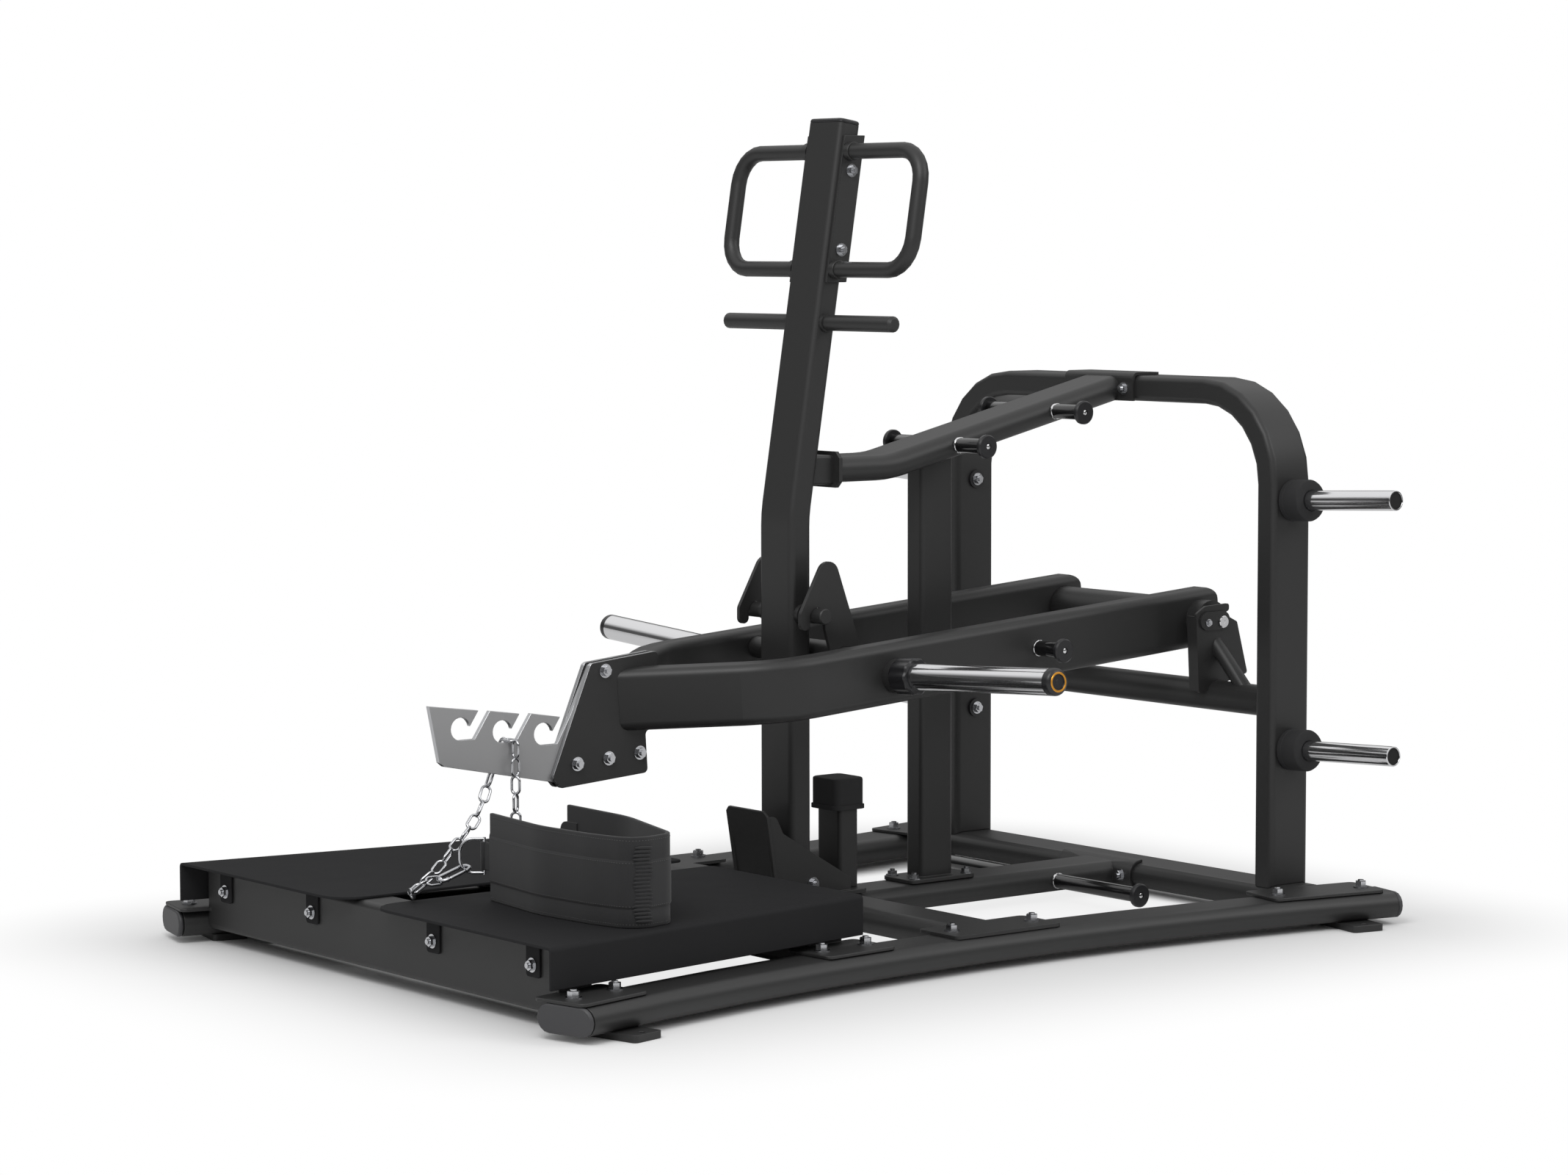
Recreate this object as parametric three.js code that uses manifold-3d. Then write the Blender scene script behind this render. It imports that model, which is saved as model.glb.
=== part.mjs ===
// Plate-loaded belt squat machine, modelled in millimetres with +Z up.
// X runs across the machine, Y from the front edge of the platform to the rear, Z up from the floor.
// The lever arm stands in its parked place, with both lockout hooks over the pin through the mast.
import * as THREE from 'three';
import { mergeVertices } from 'three/addons/utils/BufferGeometryUtils.js';
import Module from 'manifold-3d';

const wasm = await Module();
wasm.setup();

// Fits, cuts and the fineness of round forms
const seatGap = 0.3;
const overrun = 60;
const arcStep = Math.PI / 8;
const fineArcStep = Math.PI / 12;
const tubeSides = 20;
const rodSides = 16;

// Base: two bowed side rails of flat-sided tube, tied by four cross members
const flatTubeWidth = 120;
const flatTubeHeight = 50;
const railUnderside = 12;
const railWaistX = 515;
const railWaistY = 1021;
const railBowRadius = 4150;
const railFrontY = 0;
const railRearY = 1948;
const railSteps = 10;
const railCapThickness = 10;
const railCapChamfer = 3;

// Feet under the rails
const footLength = 68;
const footInset = 45;
const footReach = 98;
const footCorner = 8;
const footHoleDiameter = 11;
const footHoleReach = 82;
const footWeldLap = 1;
const frontFootY = 100;
const rearFootY = 1845;

// Flange plates that bolt the cross members onto the rails
const flangeThickness = 6;
const flangeOverlap = 8;
const flangeReach = 44;
const flangeCorner = 12;
const platformFlangeLength = 165;
const midFlangeLength = 250;
const rearFlangeLength = 250;
const rearFlangeY = 1795;

// Platform beams, 80 deep and 120 high
const platformBeamWidth = 80;
const platformBeamHeight = 120;
const platformBeamCorner = 12;
const frontBeamY = 81;
const platformRearBeamY = 686;

// Cross beam under the mast, cross tube under the arch, and the tube between them
const midBeamY = 1042;
const rearTubeY = 1814;
const tubeEndLap = 12;
const saddleThickness = 6;
const saddleHalfWidth = 108;
const saddleLap = 30;

// Foot platform: two folded sheets with a gap for the chain
const deckTop = 152;
const deckThickness = 5;
const deckRearY = 755;
const deckFrontHalfWidth = 606.5;
const deckTaper = 0.153;
const deckGapHalf = 45;
const deckFrontCorner = 60;
const deckRearCorner = 12;
const skirtBottom = 80;
const foldRadius = 8;
const foldFlangeWidth = 40;
const tabWidth = 40;
const tabHeight = 62;
const tabThickness = 4;
const tabCorner = 6;
const innerTabX = 197.9;
const outerTabX = 500.8;

// Mast: upright, then leaning back above the knee
const mastWidth = 100;
const mastDepth = 50;
const mastCorner = 12;
const mastY = 964;
const mastKneeZ = 793;
const mastLean = 0.1637;
const mastTopZ = 1525;
const mastKneeRadius = 260;
const mastCapThickness = 8;
const mastCapDome = 4;

// Mast foot: base plate on the cross beam, leaning front plate and two gussets
const basePlateThickness = 8;
const basePlateFrontY = 835;
const basePlateRearY = 1115;
const basePlateWidth = 126;
const basePlateCorner = 10;
const gussetThickness = 6;
const gussetRearY = 1078;
const gussetToeZ = 100;
const gussetBreakY = 915;
const gussetBreakZ = 198;
const lugRearY = 898;
const lugTopZ = 232;
const lugRadius = 14;
const frontPlateTopY = 868;
const frontPlateTopZ = 243;
const frontPlateLean = 0.165;
const frontPlateThickness = 6;
const frontPlateChamfer = 9;

// Rubber-capped bumper post behind the mast
const bumperPostWidth = 70;
const bumperPostDepth = 47;
const bumperPostCorner = 8;
const bumperPostY = 1090.5;
const bumperCapWidth = 80;
const bumperCapDepth = 73;
const bumperCapCorner = 14;
const bumperCapBottom = 227;
const bumperCapTop = 287;
const bumperCapDome = 4;
const bumperLipHeight = 8;
const bumperLipReach = 3;

// Centre post under the brace
const centrePostWidth = 50;
const centrePostDepth = 80;
const centrePostCorner = 10;
const centrePostY = 1319;
const centrePlateWidth = 90;
const centrePlateLength = 165;
const centrePlateCorner = 12;

// Brace from the mast to the arch
const braceZ = 877;
const braceBendY = 1185;
const braceBendRadius = 250;
const braceSlope = 0.236;
const bracePlateWidth = 124;
const bracePlateHeight = 68;
const bracePlateThickness = 8;
const bracePlateChamfer = 12;
const bracePlateY = 1045;
const spacerWidth = 88;
const spacerHeight = 55;
const spacerCorner = 6;

// Band and accessory pegs
const pegShaftDiameter = 29;
const pegDiscDiameter = 46;
const pegDiscThickness = 10;
const pegDiscEdge = 2;
const pegNeckLength = 5;
const pegSideReach = 86.5;
const armPegReach = 77;
const lowPegReach = 243;
const frontBracePegY = 1342.8;
const rearBracePegY = 1590.6;
const armPegY = 1396;
const lowPegY = 1600;

// Rear arch
const archHalfSpacing = 466;
const archThickness = 50;
const archDepth = 100;
const archCorner = 12;
const archY = 1814;
const archTopZ = 1014.5;
const archBendRadius = 175;
const archFootDrop = 22;
const wrapHalfWidth = 100;
const wrapThickness = 6;
const wrapTopLap = 64;
const lowerTubeDiameter = 60;
const lowerTubeZ = 417.5;

// Storage horns on the arch
const storageUpperZ = 809.5;
const storageLowerZ = 329.5;
const storageTilt = 2.7 * Math.PI / 180;
const storageLength = 272;
const storageDiameter = 38;
const storageRimWidth = 3;
const storageRimDepth = 2;
const storageBumperDiameter = 80;
const storageBumperLength = 50;
const storageBumperEdge = 5;

// Handles on the mast
const handleDiameter = 30;
const handleCornerX = 274.5;
const handlePlateDrop = 21;
const handlePlateHead = 30.2;
const handlePlateToe = 23.9;
const handleLoopHeight = 220.9;
const handlePlateTopZ = mastTopZ - handlePlateDrop;
const handleUpperZ = handlePlateTopZ - handlePlateHead;
const handleLowerZ = handleUpperZ - handleLoopHeight;
const handlePlateBottomZ = handleLowerZ - handlePlateToe;
const handleCornerRadius = 60;
const handlePlateThickness = 6;
const handlePlateFrontShare = 0.35;
const rodDrop = 75.4;
const rodZ = handlePlateBottomZ - rodDrop;
const rodHalfLength = 253.3;
const rodCollarLength = 8;
const rodCollarReach = 3;
const rodEndRound = 5;

// Lockout pin through the mast
const pinZ = 608.5;
const pinDiameter = 30;
const pinHalfLength = 124;
const pinCollarLength = 10;
const pinCollarReach = 4;
const pinEndChamfer = 2;

// Pivot at the rear of the lever arm
const pivotY = 1822;
const pivotZ = 562;
const pivotShaftDiameter = 26;
const pivotShaftGap = 0.5;
const pivotShaftRoot = 190;
const pivotTubeDiameter = 80;
const pivotHubLength = 31;

// Lever arm, two tubes that run together into the hook bracket
const armSpacing = 201.2;
const armWidth = 60;
const armHeight = 115;
const armCorner = 18;
const armSlope = 0.0762;
const armPivotRise = 2.4;
const armRearY = 1870;
const armRearCorner = 25;
const armBendRadius = 160;
const armNoseY = 606.9;
const armCrossTubeDiameter = 42;
const armCrossTubeY = 1028;
const armCrossTubeZ = 526;

// Pivot brackets on the lower tube
const bracketWebX = 284;
const bracketWebThickness = 6;
const bracketFlangeDepth = 21;
const keeperThickness = 4;
const keeperHeight = 36;
const keeperLength = 78;
const keeperCentreY = 1802;
const keeperCentreZ = 565;
const webTopFrontY = 1754;
const webTopFrontZ = 580;
const webFingerRootY = 1778;
const webFingerTopZ = 594;
const webFingerTipY = 1842;
const webFingerTipZ = 597;
const webFingerUnderZ = 584;
const webNotchY = 1828;
const webNotchZ = 577;
const webTopRearY = 1864;
const webTopRearZ = 560;
const webBottomRearY = 1893;
const webBottomRearZ = 457;
const webBottomFrontY = 1762;
const webBottomFrontZ = 424;
const webCorner = 5;
const strutDiameter = 30;
const strutFootX = 372;
const strutFootZ = 428;
const strutHeadZ = 524;

// Lockout hooks that swing on the front cross tube of the arm
const hookPlateX = 98;
const hookPlateThickness = 8;
const hookHubRadius = 34;
const hookSleeveRadius = 29;
const hookRunningGap = 0.5;
const hookApexY = 995.5;
const hookApexRadius = 24;
const hookApexTop = 718.7;
const hookNoseY = 924;
const hookNoseZ = 614;
const hookNoseRadius = 14;
const hookFingerRadius = 11;
const hookFingerBottom = 582.5;
const hookSlotFrontY = 946.5;
const hookSlotRearY = 982.5;
const hookLegFootY = 994;
const hookLegFootZ = 545;
const hookHeelY = 1063.6;
const hookHeelZ = 556;

// Loading horns on the lever arm
const hornY = 1043.5;
const hornRootZ = 501.5;
const hornTilt = 3.3 * Math.PI / 180;
const hornHubDiameter = 65;
const hornHubLength = 17;
const hornCollarDiameter = 70;
const hornCollarLength = 47;
const hornCollarLobes = 10;
const hornLobeDepth = 2.5;
const hornSleeveDiameter = 50;
const hornSleeveLength = 372;
const hornCapLength = 18;
const hornCapRound = 9;

// Hook bracket at the nose of the lever arm
const hookPlateHalf = 5;
const cheekThickness = 9.7;
const cheekCorner = 9;
const cheekTopFrontY = 504;
const cheekTopFrontZ = 542;
const cheekTopRearY = 655;
const cheekTopRearZ = 556.5;
const cheekStepZ = 416;
const cheekHeelTopY = 626;
const cheekHeelTopZ = 410;
const cheekHeelY = 631;
const cheekHeelZ = 333;
const cheekToeY = 436;
const cheekToeZ = 319;
const cheekFrontY = 418;
const cheekFrontZ = 339.5;
const trayTopFrontY = 159;
const trayTopFrontZ = 487;
const trayFrontFootY = 180;
const trayFrontFootZ = 385;
const trayFrontBottomY = 190;
const trayFrontBottomZ = 377;
const trayRearBottomY = 610;
const trayRearBottomZ = 341;
const trayCorner = 3;
const notchCount = 3;
const notchRadius = 20.5;
const notchFirstY = 226;
const notchFirstZ = 442;
const notchPitchY = 89.5;
const notchDropZ = 11;
const notchFloorLength = 30;
const notchAngle = 55.8 * Math.PI / 180;
const notchMouthRise = 28;
const notchWidth = 21.5;
const trayTopSlope = 0.1365;

// Belt that stands on the platform
const beltBottom = 152.5;
const beltHeight = 155;
const beltThickness = 9;
const beltEdge = 2;
const beltLeftX = 136;
const beltFrontLeftY = 203;
const beltFrontMidX = 318;
const beltFrontMidY = 180;
const beltFrontRightX = 452;
const beltFrontRightY = 192;
const beltCornerX = 546;
const beltCornerY = 216;
const beltRearCornerX = 528;
const beltRearCornerY = 305;
const beltRearMidX = 315;
const beltRearMidY = 367;
const beltRearLeftX = 131;
const beltRearLeftY = 372;
const beltBendRadius = 38;
const beltTabHeight = 50;
const beltTabRadius = 7;
const beltTabReach = 24;
const beltTabZ = 229;

// Rings at the ends of the belt
const ringWire = 5.5;
const ringHeight = 66;
const ringDepth = 49;
const ringCornerRadius = 24;
const ringBoreGap = 0.6;
const frontRingTurn = 4.066;
const rearRingTurn = 3.52;

// Chain through the middle notch
const chainWire = 5;
const chainWidth = 22;
const chainPitch = 31;
const chainPull = 0.9;
const chainWireSides = 5;
const chainBendSteps = 8;
const saddleLinkReach = 19;
const chainRest = 0.4;
const strandSamples = 400;
const rearStrandShares = [
  [0, 0, 0.3],
  [0, 0, 0.62],
  [0, 0.04, 0.9],
  [0.2, 0.24, 1.14],
];
const frontStrandShares = [
  [-0.04, 0.115, 0.263],
  [0.19, 0.362, 0.6],
  [0.45, 0.723, 0.835],
  [0.58, 0.958, 0.995],
  [0.53, 1.11, 1.09],
  [0.68, 1.22, 1.13],
  [0.88, 1.24, 1.08],
];

// Spring hook between the chain and the front ring
const springHookWidth = 32;
const springHookWire = 7;
const springHookHeadX = 93.1;
const springHookHeadY = 181;
const springHookHeadZ = 210;
const springHookTailX = 90.6;
const springHookTailY = 122;
const springHookTailZ = 190.5;
const springHookRoll = 0.1;
const gateSplit = 0.4;
const gateLength = 36;

// Looks of the materials
const looks = {
  blackCoat: { color: 0x2c2c2e, roughness: 0.55, metalness: 0.1 },
  capBlack: { color: 0x3a3a3c, roughness: 0.6, metalness: 0 },
  glossBlack: { color: 0x0c0c0d, roughness: 0.15, metalness: 0.1 },
  rubber: { color: 0x202021, roughness: 0.8, metalness: 0 },
  chrome: { color: 0xc9cbcd, roughness: 0.12, metalness: 1 },
  satinSteel: { color: 0x9c9c9d, roughness: 0.35, metalness: 1 },
  zinc: { color: 0xb4b5b7, roughness: 0.3, metalness: 1 },
  webbing: { color: 0x19191a, roughness: 0.9, metalness: 0 },
};

const xAxis = new THREE.Vector3(1, 0, 0);
const yAxis = new THREE.Vector3(0, 1, 0);
const zAxis = new THREE.Vector3(0, 0, 1);
const leftRight = { left: -1, right: 1 };

const machine = new THREE.Group();

// Sizes that several pieces share
const railTop = railUnderside + flatTubeHeight;
const flangeBottom = railTop + seatGap;
const flangeTop = flangeBottom + flangeThickness;
const crossTubeZ = flangeTop - flatTubeHeight / 2;
const plateSeat = flangeTop + seatGap;
const plateTop = plateSeat + basePlateThickness;
const deckUnderside = deckTop - deckThickness;
const mastFootZ = plateTop + seatGap;
const leanAngle = Math.atan(mastLean);
const armTilt = Math.atan(armSlope);
const braceTilt = Math.atan(braceSlope);
const armInnerX = armSpacing - armWidth / 2;
const armOuterX = armSpacing + armWidth / 2;
const notchTopZ = (y) => trayTopFrontZ - trayTopSlope * (y - trayTopFrontY);

/** Adds a named mesh to the machine and returns it. */
function addPiece(name, geometry, look) {
  const mesh = new THREE.Mesh(geometry, new THREE.MeshStandardMaterial(look));
  mesh.name = name;
  machine.add(mesh);
  return mesh;
}

/** Turns a closed geometry into a solid that can be cut and joined. */
function toSolid(geometry) {
  const bare = geometry.clone();
  bare.deleteAttribute('normal');
  bare.deleteAttribute('uv');
  const merged = mergeVertices(bare);
  return new wasm.Manifold(new wasm.Mesh({
    numProp: 3,
    vertProperties: Float32Array.from(merged.attributes.position.array),
    triVerts: Uint32Array.from(merged.index.array),
  }));
}

/** Turns a cut solid back into a geometry. */
function toGeometry(solid) {
  const cut = solid.getMesh();
  const geometry = new THREE.BufferGeometry();
  geometry.setAttribute('position', new THREE.BufferAttribute(cut.vertProperties, 3));
  geometry.setIndex(new THREE.BufferAttribute(cut.triVerts, 1));
  geometry.computeVertexNormals();
  return geometry;
}

/** Joins a list of geometries and takes another list away from the result. */
function combine(parts, cuts = []) {
  let solid = toSolid(parts[0]);
  for (const part of parts.slice(1)) {
    solid = solid.add(toSolid(part));
  }
  for (const cut of cuts) {
    solid = solid.subtract(toSolid(cut));
  }
  return toGeometry(solid);
}

/** Mirrors a geometry across the machine's middle plane, with its faces kept outward. */
function mirrored(geometry) {
  const copy = geometry.index ? geometry.toNonIndexed() : geometry.clone();
  copy.scale(-1, 1, 1);
  const place = copy.attributes.position;
  const corner = new THREE.Vector3();
  const other = new THREE.Vector3();
  for (let i = 0; i < place.count; i += 3) {
    corner.fromBufferAttribute(place, i);
    other.fromBufferAttribute(place, i + 1);
    place.setXYZ(i, other.x, other.y, other.z);
    place.setXYZ(i + 1, corner.x, corner.y, corner.z);
  }
  copy.computeVertexNormals();
  return copy;
}

/** A piece drawn for the right side, or its mirror image for the left. */
function forSide(geometry, side) {
  return side > 0 ? geometry : mirrored(geometry);
}

/** Outline through corners, each given as a place and a radius. */
function roundedOutline(corners, step = arcStep) {
  const points = [];
  corners.forEach(([x, y, radius], i) => {
    const here = new THREE.Vector2(x, y);
    const before = corners[(i + corners.length - 1) % corners.length];
    const after = corners[(i + 1) % corners.length];
    const back = new THREE.Vector2(before[0], before[1]).sub(here).normalize();
    const ahead = new THREE.Vector2(after[0], after[1]).sub(here).normalize();
    const half = Math.acos(THREE.MathUtils.clamp(back.dot(ahead), -1, 1)) / 2;
    if (!radius) {
      points.push(here);
      return;
    }
    const middle = back.clone().add(ahead).normalize();
    const centre = here.clone().addScaledVector(middle, radius / Math.sin(half));
    const start = back.clone().multiplyScalar(radius / Math.tan(half)).add(here).sub(centre);
    const turn = Math.PI - 2 * half;
    const sense = Math.sign(back.cross(ahead)) * -1;
    const count = Math.max(1, Math.round(turn / step));
    for (let k = 0; k <= count; k += 1) {
      const swung = start.clone().rotateAround(new THREE.Vector2(), sense * turn * k / count);
      points.push(swung.add(centre));
    }
  });
  const distinct = points.filter((p, i) => !near(p, points[(i + 1) % points.length]));
  return new THREE.Shape(distinct);
}

/** Whether two outline points fall together. */
function near(a, b) {
  return a.distanceTo(b) < seatGap / 100;
}

/** Rectangle with rounded corners, centred on a place. */
function roundedRectangle(width, height, radius, x = 0, y = 0, step = arcStep) {
  const right = x + width / 2;
  const left = x - width / 2;
  const top = y + height / 2;
  const bottom = y - height / 2;
  return roundedOutline([
    [left, bottom, radius], [right, bottom, radius], [right, top, radius], [left, top, radius],
  ], step);
}

/** Section of the flat-sided tube, grown by a clearance. */
function flatTubeSection(x = 0, y = 0, grow = 0) {
  const height = flatTubeHeight + 2 * grow;
  return roundedRectangle(flatTubeWidth + 2 * grow, height, height / 2, x, y);
}

/** Round section or hole. */
function circleShape(radius, sides = tubeSides, x = 0, y = 0) {
  const points = [];
  for (let i = 0; i < sides; i += 1) {
    const angle = 2 * Math.PI * i / sides;
    points.push(new THREE.Vector2(x + radius * Math.cos(angle), y + radius * Math.sin(angle)));
  }
  return new THREE.Shape(points);
}

/** Extrudes an outline drawn in X and Y upward. */
function extrudeZ(shape, from, to) {
  const geometry = new THREE.ExtrudeGeometry(shape, { depth: to - from, bevelEnabled: false });
  return geometry.translate(0, 0, from);
}

/** Extrudes an outline drawn in X and Z along Y. */
function extrudeY(shape, from, to) {
  const geometry = new THREE.ExtrudeGeometry(shape, { depth: to - from, bevelEnabled: false });
  return geometry.rotateX(Math.PI / 2).translate(0, to, 0);
}

/** Extrudes an outline drawn in Y and Z along X. */
function extrudeX(shape, from, to) {
  const geometry = new THREE.ExtrudeGeometry(shape, { depth: to - from, bevelEnabled: false });
  geometry.applyMatrix4(new THREE.Matrix4().makeBasis(yAxis, zAxis, xAxis));
  return geometry.translate(from, 0, 0);
}

/** Block between two opposite corners. */
function block(x0, x1, y0, y1, z0, z1) {
  const geometry = new THREE.BoxGeometry(x1 - x0, y1 - y0, z1 - z0);
  return geometry.translate((x0 + x1) / 2, (y0 + y1) / 2, (z0 + z1) / 2);
}

/** Round bar between two points. */
function rod(from, to, radius, sides = tubeSides) {
  const length = from.distanceTo(to);
  const geometry = new THREE.CylinderGeometry(radius, radius, length, sides);
  const heading = to.clone().sub(from).normalize();
  const turn = new THREE.Quaternion().setFromUnitVectors(yAxis, heading);
  geometry.applyQuaternion(turn);
  const middle = from.clone().add(to).multiplyScalar(1 / 2);
  return geometry.translate(middle.x, middle.y, middle.z);
}

/** Turned piece: a profile of [radius, distance] pairs, revolved about a line along X. */
function turnedX(profile, sides = tubeSides) {
  const points = profile.map(([radius, along]) => new THREE.Vector2(radius, along));
  const geometry = new THREE.LatheGeometry(points, sides);
  return geometry.rotateZ(-Math.PI / 2);
}

/** Route whose rings stand exactly at given stations, with a fixed direction across it. */
class StationRoute extends THREE.Curve {
  constructor(stations, across) {
    super();
    this.stations = stations;
    this.across = across;
  }

  getPointAt(share, target = new THREE.Vector3()) {
    const index = Math.round(share * (this.stations.length - 1));
    return target.copy(this.stations[index].point);
  }

  computeFrenetFrames() {
    const tangents = this.stations.map((station) => station.tangent.clone());
    const binormals = tangents.map(() => this.across.clone());
    const normals = tangents.map((tangent) => this.across.clone().cross(tangent).normalize());
    return { tangents, normals, binormals };
  }
}

/** Sweeps a section along stations; the section's height lies along the direction across. */
function sweep(section, stations, across) {
  const extrudePath = new StationRoute(stations, across);
  const steps = stations.length - 1;
  return new THREE.ExtrudeGeometry(section, { steps, extrudePath });
}

/** Stations of a route through corner points whose bends have one radius. */
function bentRoute(corners, radius, step = fineArcStep) {
  const last = corners.length - 1;
  const heading = (i) => corners[i + 1].clone().sub(corners[i]).normalize();
  const stations = [{ point: corners[0], tangent: heading(0) }];
  for (let i = 1; i < last; i += 1) {
    const arriving = heading(i - 1);
    const leaving = heading(i);
    const turn = arriving.angleTo(leaving);
    const hinge = arriving.clone().cross(leaving).normalize();
    const start = corners[i].clone().addScaledVector(arriving, -radius * Math.tan(turn / 2));
    const inward = hinge.clone().cross(arriving);
    const centre = start.clone().addScaledVector(inward, radius);
    const count = Math.max(1, Math.ceil(turn / step));
    for (let k = 0; k <= count; k += 1) {
      const angle = turn * k / count;
      const arm = inward.clone().multiplyScalar(-radius).applyAxisAngle(hinge, angle);
      const tangent = arriving.clone().applyAxisAngle(hinge, angle);
      stations.push({ point: arm.add(centre), tangent });
    }
  }
  stations.push({ point: corners[last], tangent: heading(last - 1) });
  return stations;
}

/** Angle on the rail's bow at a distance from the front. */
function bowAngle(y) {
  return Math.asin((y - railWaistY) / railBowRadius);
}

/** Place and heading on the centre line of a rail. */
function railStation(y, side) {
  const angle = bowAngle(y);
  const x = railWaistX + railBowRadius * (1 - Math.cos(angle));
  const tangent = new THREE.Vector3(side * Math.sin(angle), Math.cos(angle), 0);
  return { point: new THREE.Vector3(side * x, y, railUnderside + flatTubeHeight / 2), tangent };
}

/** Stations along a whole rail, or past its ends by a run. */
function railStations(side, run = 0) {
  const from = railFrontY + railCapThickness + seatGap;
  const to = railRearY - railCapThickness - seatGap;
  const places = [];
  for (let i = 0; i <= railSteps; i += 1) {
    places.push(from + (to - from) * i / railSteps);
  }
  const reached = run > 0 ? [from - run, ...places, to + run] : places;
  return reached.map((y) => railStation(y, side));
}

/** Room that cross members leave for a rail: its outline in plan, tall. */
function railRoom(side) {
  const width = flatTubeWidth + 2 * seatGap;
  const tall = roundedRectangle(width, 2 * platformBeamHeight + 2 * overrun, 0);
  return sweep(tall, railStations(side, overrun / 2), zAxis);
}

/** Flange plate on top of a rail, in line with it. */
function flangePlate(y, length, side) {
  const station = railStation(y, side);
  const inner = flatTubeWidth / 2 + flangeOverlap;
  const width = inner + flangeReach;
  const shape = roundedRectangle(width, length, flangeCorner, side * (flangeReach - inner) / 2, 0);
  const plate = extrudeZ(shape, flangeBottom, flangeTop);
  plate.rotateZ(-side * bowAngle(y));
  return plate.translate(station.point.x, y, 0);
}

/** Rails with their welded feet, and the plugs in their ends. */
function addRails() {
  for (const [name, side] of Object.entries(leftRight)) {
    const tube = sweep(flatTubeSection(), railStations(side), zAxis);
    const feet = [frontFootY, rearFootY].map((y) => footGeometry(y, side));
    addPiece(`rail_${name}`, combine([tube, ...feet]), looks.blackCoat);
    for (const [end, y, facing] of [['front', railFrontY, -1], ['rear', railRearY, 1]]) {
      addRailCap(`rail_cap_${end}_${name}`, y, facing, side);
    }
  }
}

/** Moulded plug in a rail's end, chamfered round its outer rim. */
function addRailCap(name, y, facing, side) {
  const bevel = {
    depth: railCapThickness - 2 * railCapChamfer,
    bevelThickness: railCapChamfer,
    bevelSize: railCapChamfer,
    bevelOffset: -railCapChamfer,
    bevelSegments: 1,
  };
  const geometry = new THREE.ExtrudeGeometry(flatTubeSection(), bevel);
  geometry.translate(0, 0, railCapChamfer - railCapThickness).rotateX(Math.PI / 2);
  const station = railStation(y, side);
  const mesh = addPiece(name, geometry, looks.capBlack);
  mesh.position.copy(station.point);
  mesh.rotation.z = -side * bowAngle(y) + (facing > 0 ? Math.PI : 0);
}

/** Bolt-down foot that reaches outward from under a rail. */
function footGeometry(y, side) {
  const width = footInset + footReach;
  const shape = roundedRectangle(width, footLength, footCorner, side * (footReach - footInset) / 2);
  shape.holes.push(circleShape(footHoleDiameter / 2, rodSides, side * footHoleReach));
  const foot = extrudeZ(shape, 0, railUnderside + footWeldLap);
  return foot.rotateZ(-side * bowAngle(y)).translate(railStation(y, side).point.x, y, 0);
}

/** Beam under the platform with its two flange plates. */
function addPlatformBeam(name, y) {
  const top = deckUnderside - seatGap;
  const section = roundedRectangle(
    platformBeamWidth, platformBeamHeight, platformBeamCorner, y, top - platformBeamHeight / 2,
  );
  const reach = railWaistX + flatTubeWidth;
  const beam = combine([extrudeX(section, -reach, reach)], [railRoom(-1), railRoom(1)]);
  const middle = keepMiddle(beam);
  const plates = [-1, 1].map((side) => flangePlate(y, platformFlangeLength, side));
  addPiece(name, combine([middle, ...plates]), looks.blackCoat);
}

/** Keeps what lies between the rails' centre lines. */
function keepMiddle(geometry) {
  const far = 2 * railWaistX;
  const high = 2 * deckTop;
  const inner = railWaistX - flatTubeWidth / 2;
  const rightCut = block(inner + flatTubeWidth, far, -far, 2 * far, -high, high);
  const leftCut = block(-far, -inner - flatTubeWidth, -far, 2 * far, -high, high);
  return combine([geometry], [leftCut, rightCut]);
}

/** Cross member of flat-sided tube with its two flange plates. */
function crossTubeSolid(y, flangeY, flangeLength) {
  const reach = crossTubeReach(y);
  const tube = extrudeX(flatTubeSection(y, crossTubeZ), -reach, reach);
  const trimmed = combine([tube], [railRoom(-1), railRoom(1)]);
  const plates = [-1, 1].map((side) => flangePlate(flangeY, flangeLength, side));
  return combine([trimmed, ...plates]);
}

/** How far a cross member reaches from the middle, just short of the rails. */
function crossTubeReach(y) {
  return railStation(y - flatTubeWidth / 2, 1).point.x - flatTubeWidth / 2;
}

/** Room that other pieces leave for a cross member. */
function crossTubeRoom(y) {
  const reach = crossTubeReach(y);
  return extrudeX(flatTubeSection(y, crossTubeZ, seatGap), -reach, reach);
}

/** Cross beam under the mast and cross tube under the arch. */
function addCrossTubes() {
  addPiece('mid_cross_beam', crossTubeSolid(midBeamY, midBeamY, midFlangeLength), looks.blackCoat);
  const rear = crossTubeSolid(rearTubeY, rearFlangeY, rearFlangeLength);
  addPiece('rear_cross_tube', rear, looks.blackCoat);
}

/** Tube along the middle of the base, with a saddle that bolts to the rear cross tube. */
function addCentreTube() {
  const from = midBeamY + flatTubeWidth / 2 - tubeEndLap;
  const to = rearTubeY - flatTubeWidth / 2 + tubeEndLap;
  const tube = extrudeY(flatTubeSection(0, crossTubeZ), from, to);
  const grow = seatGap + saddleThickness;
  const saddle = extrudeX(flatTubeSection(rearTubeY, crossTubeZ, grow), -saddleHalfWidth, saddleHalfWidth);
  const saddleRear = rearTubeY - flatTubeWidth / 2 + saddleLap;
  const behind = block(
    -saddleHalfWidth - overrun, saddleHalfWidth + overrun,
    saddleRear, rearTubeY + flatTubeWidth + overrun, -overrun, plateTop + overrun,
  );
  const cuts = [behind, crossTubeRoom(rearTubeY), crossTubeRoom(midBeamY)];
  addPiece('base_centre_tube', combine([tube, saddle], cuts), looks.blackCoat);
}

/** Distance of the platform's outer edge from the middle. */
function deckEdgeX(y) {
  return deckFrontHalfWidth - deckTaper * y;
}

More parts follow.
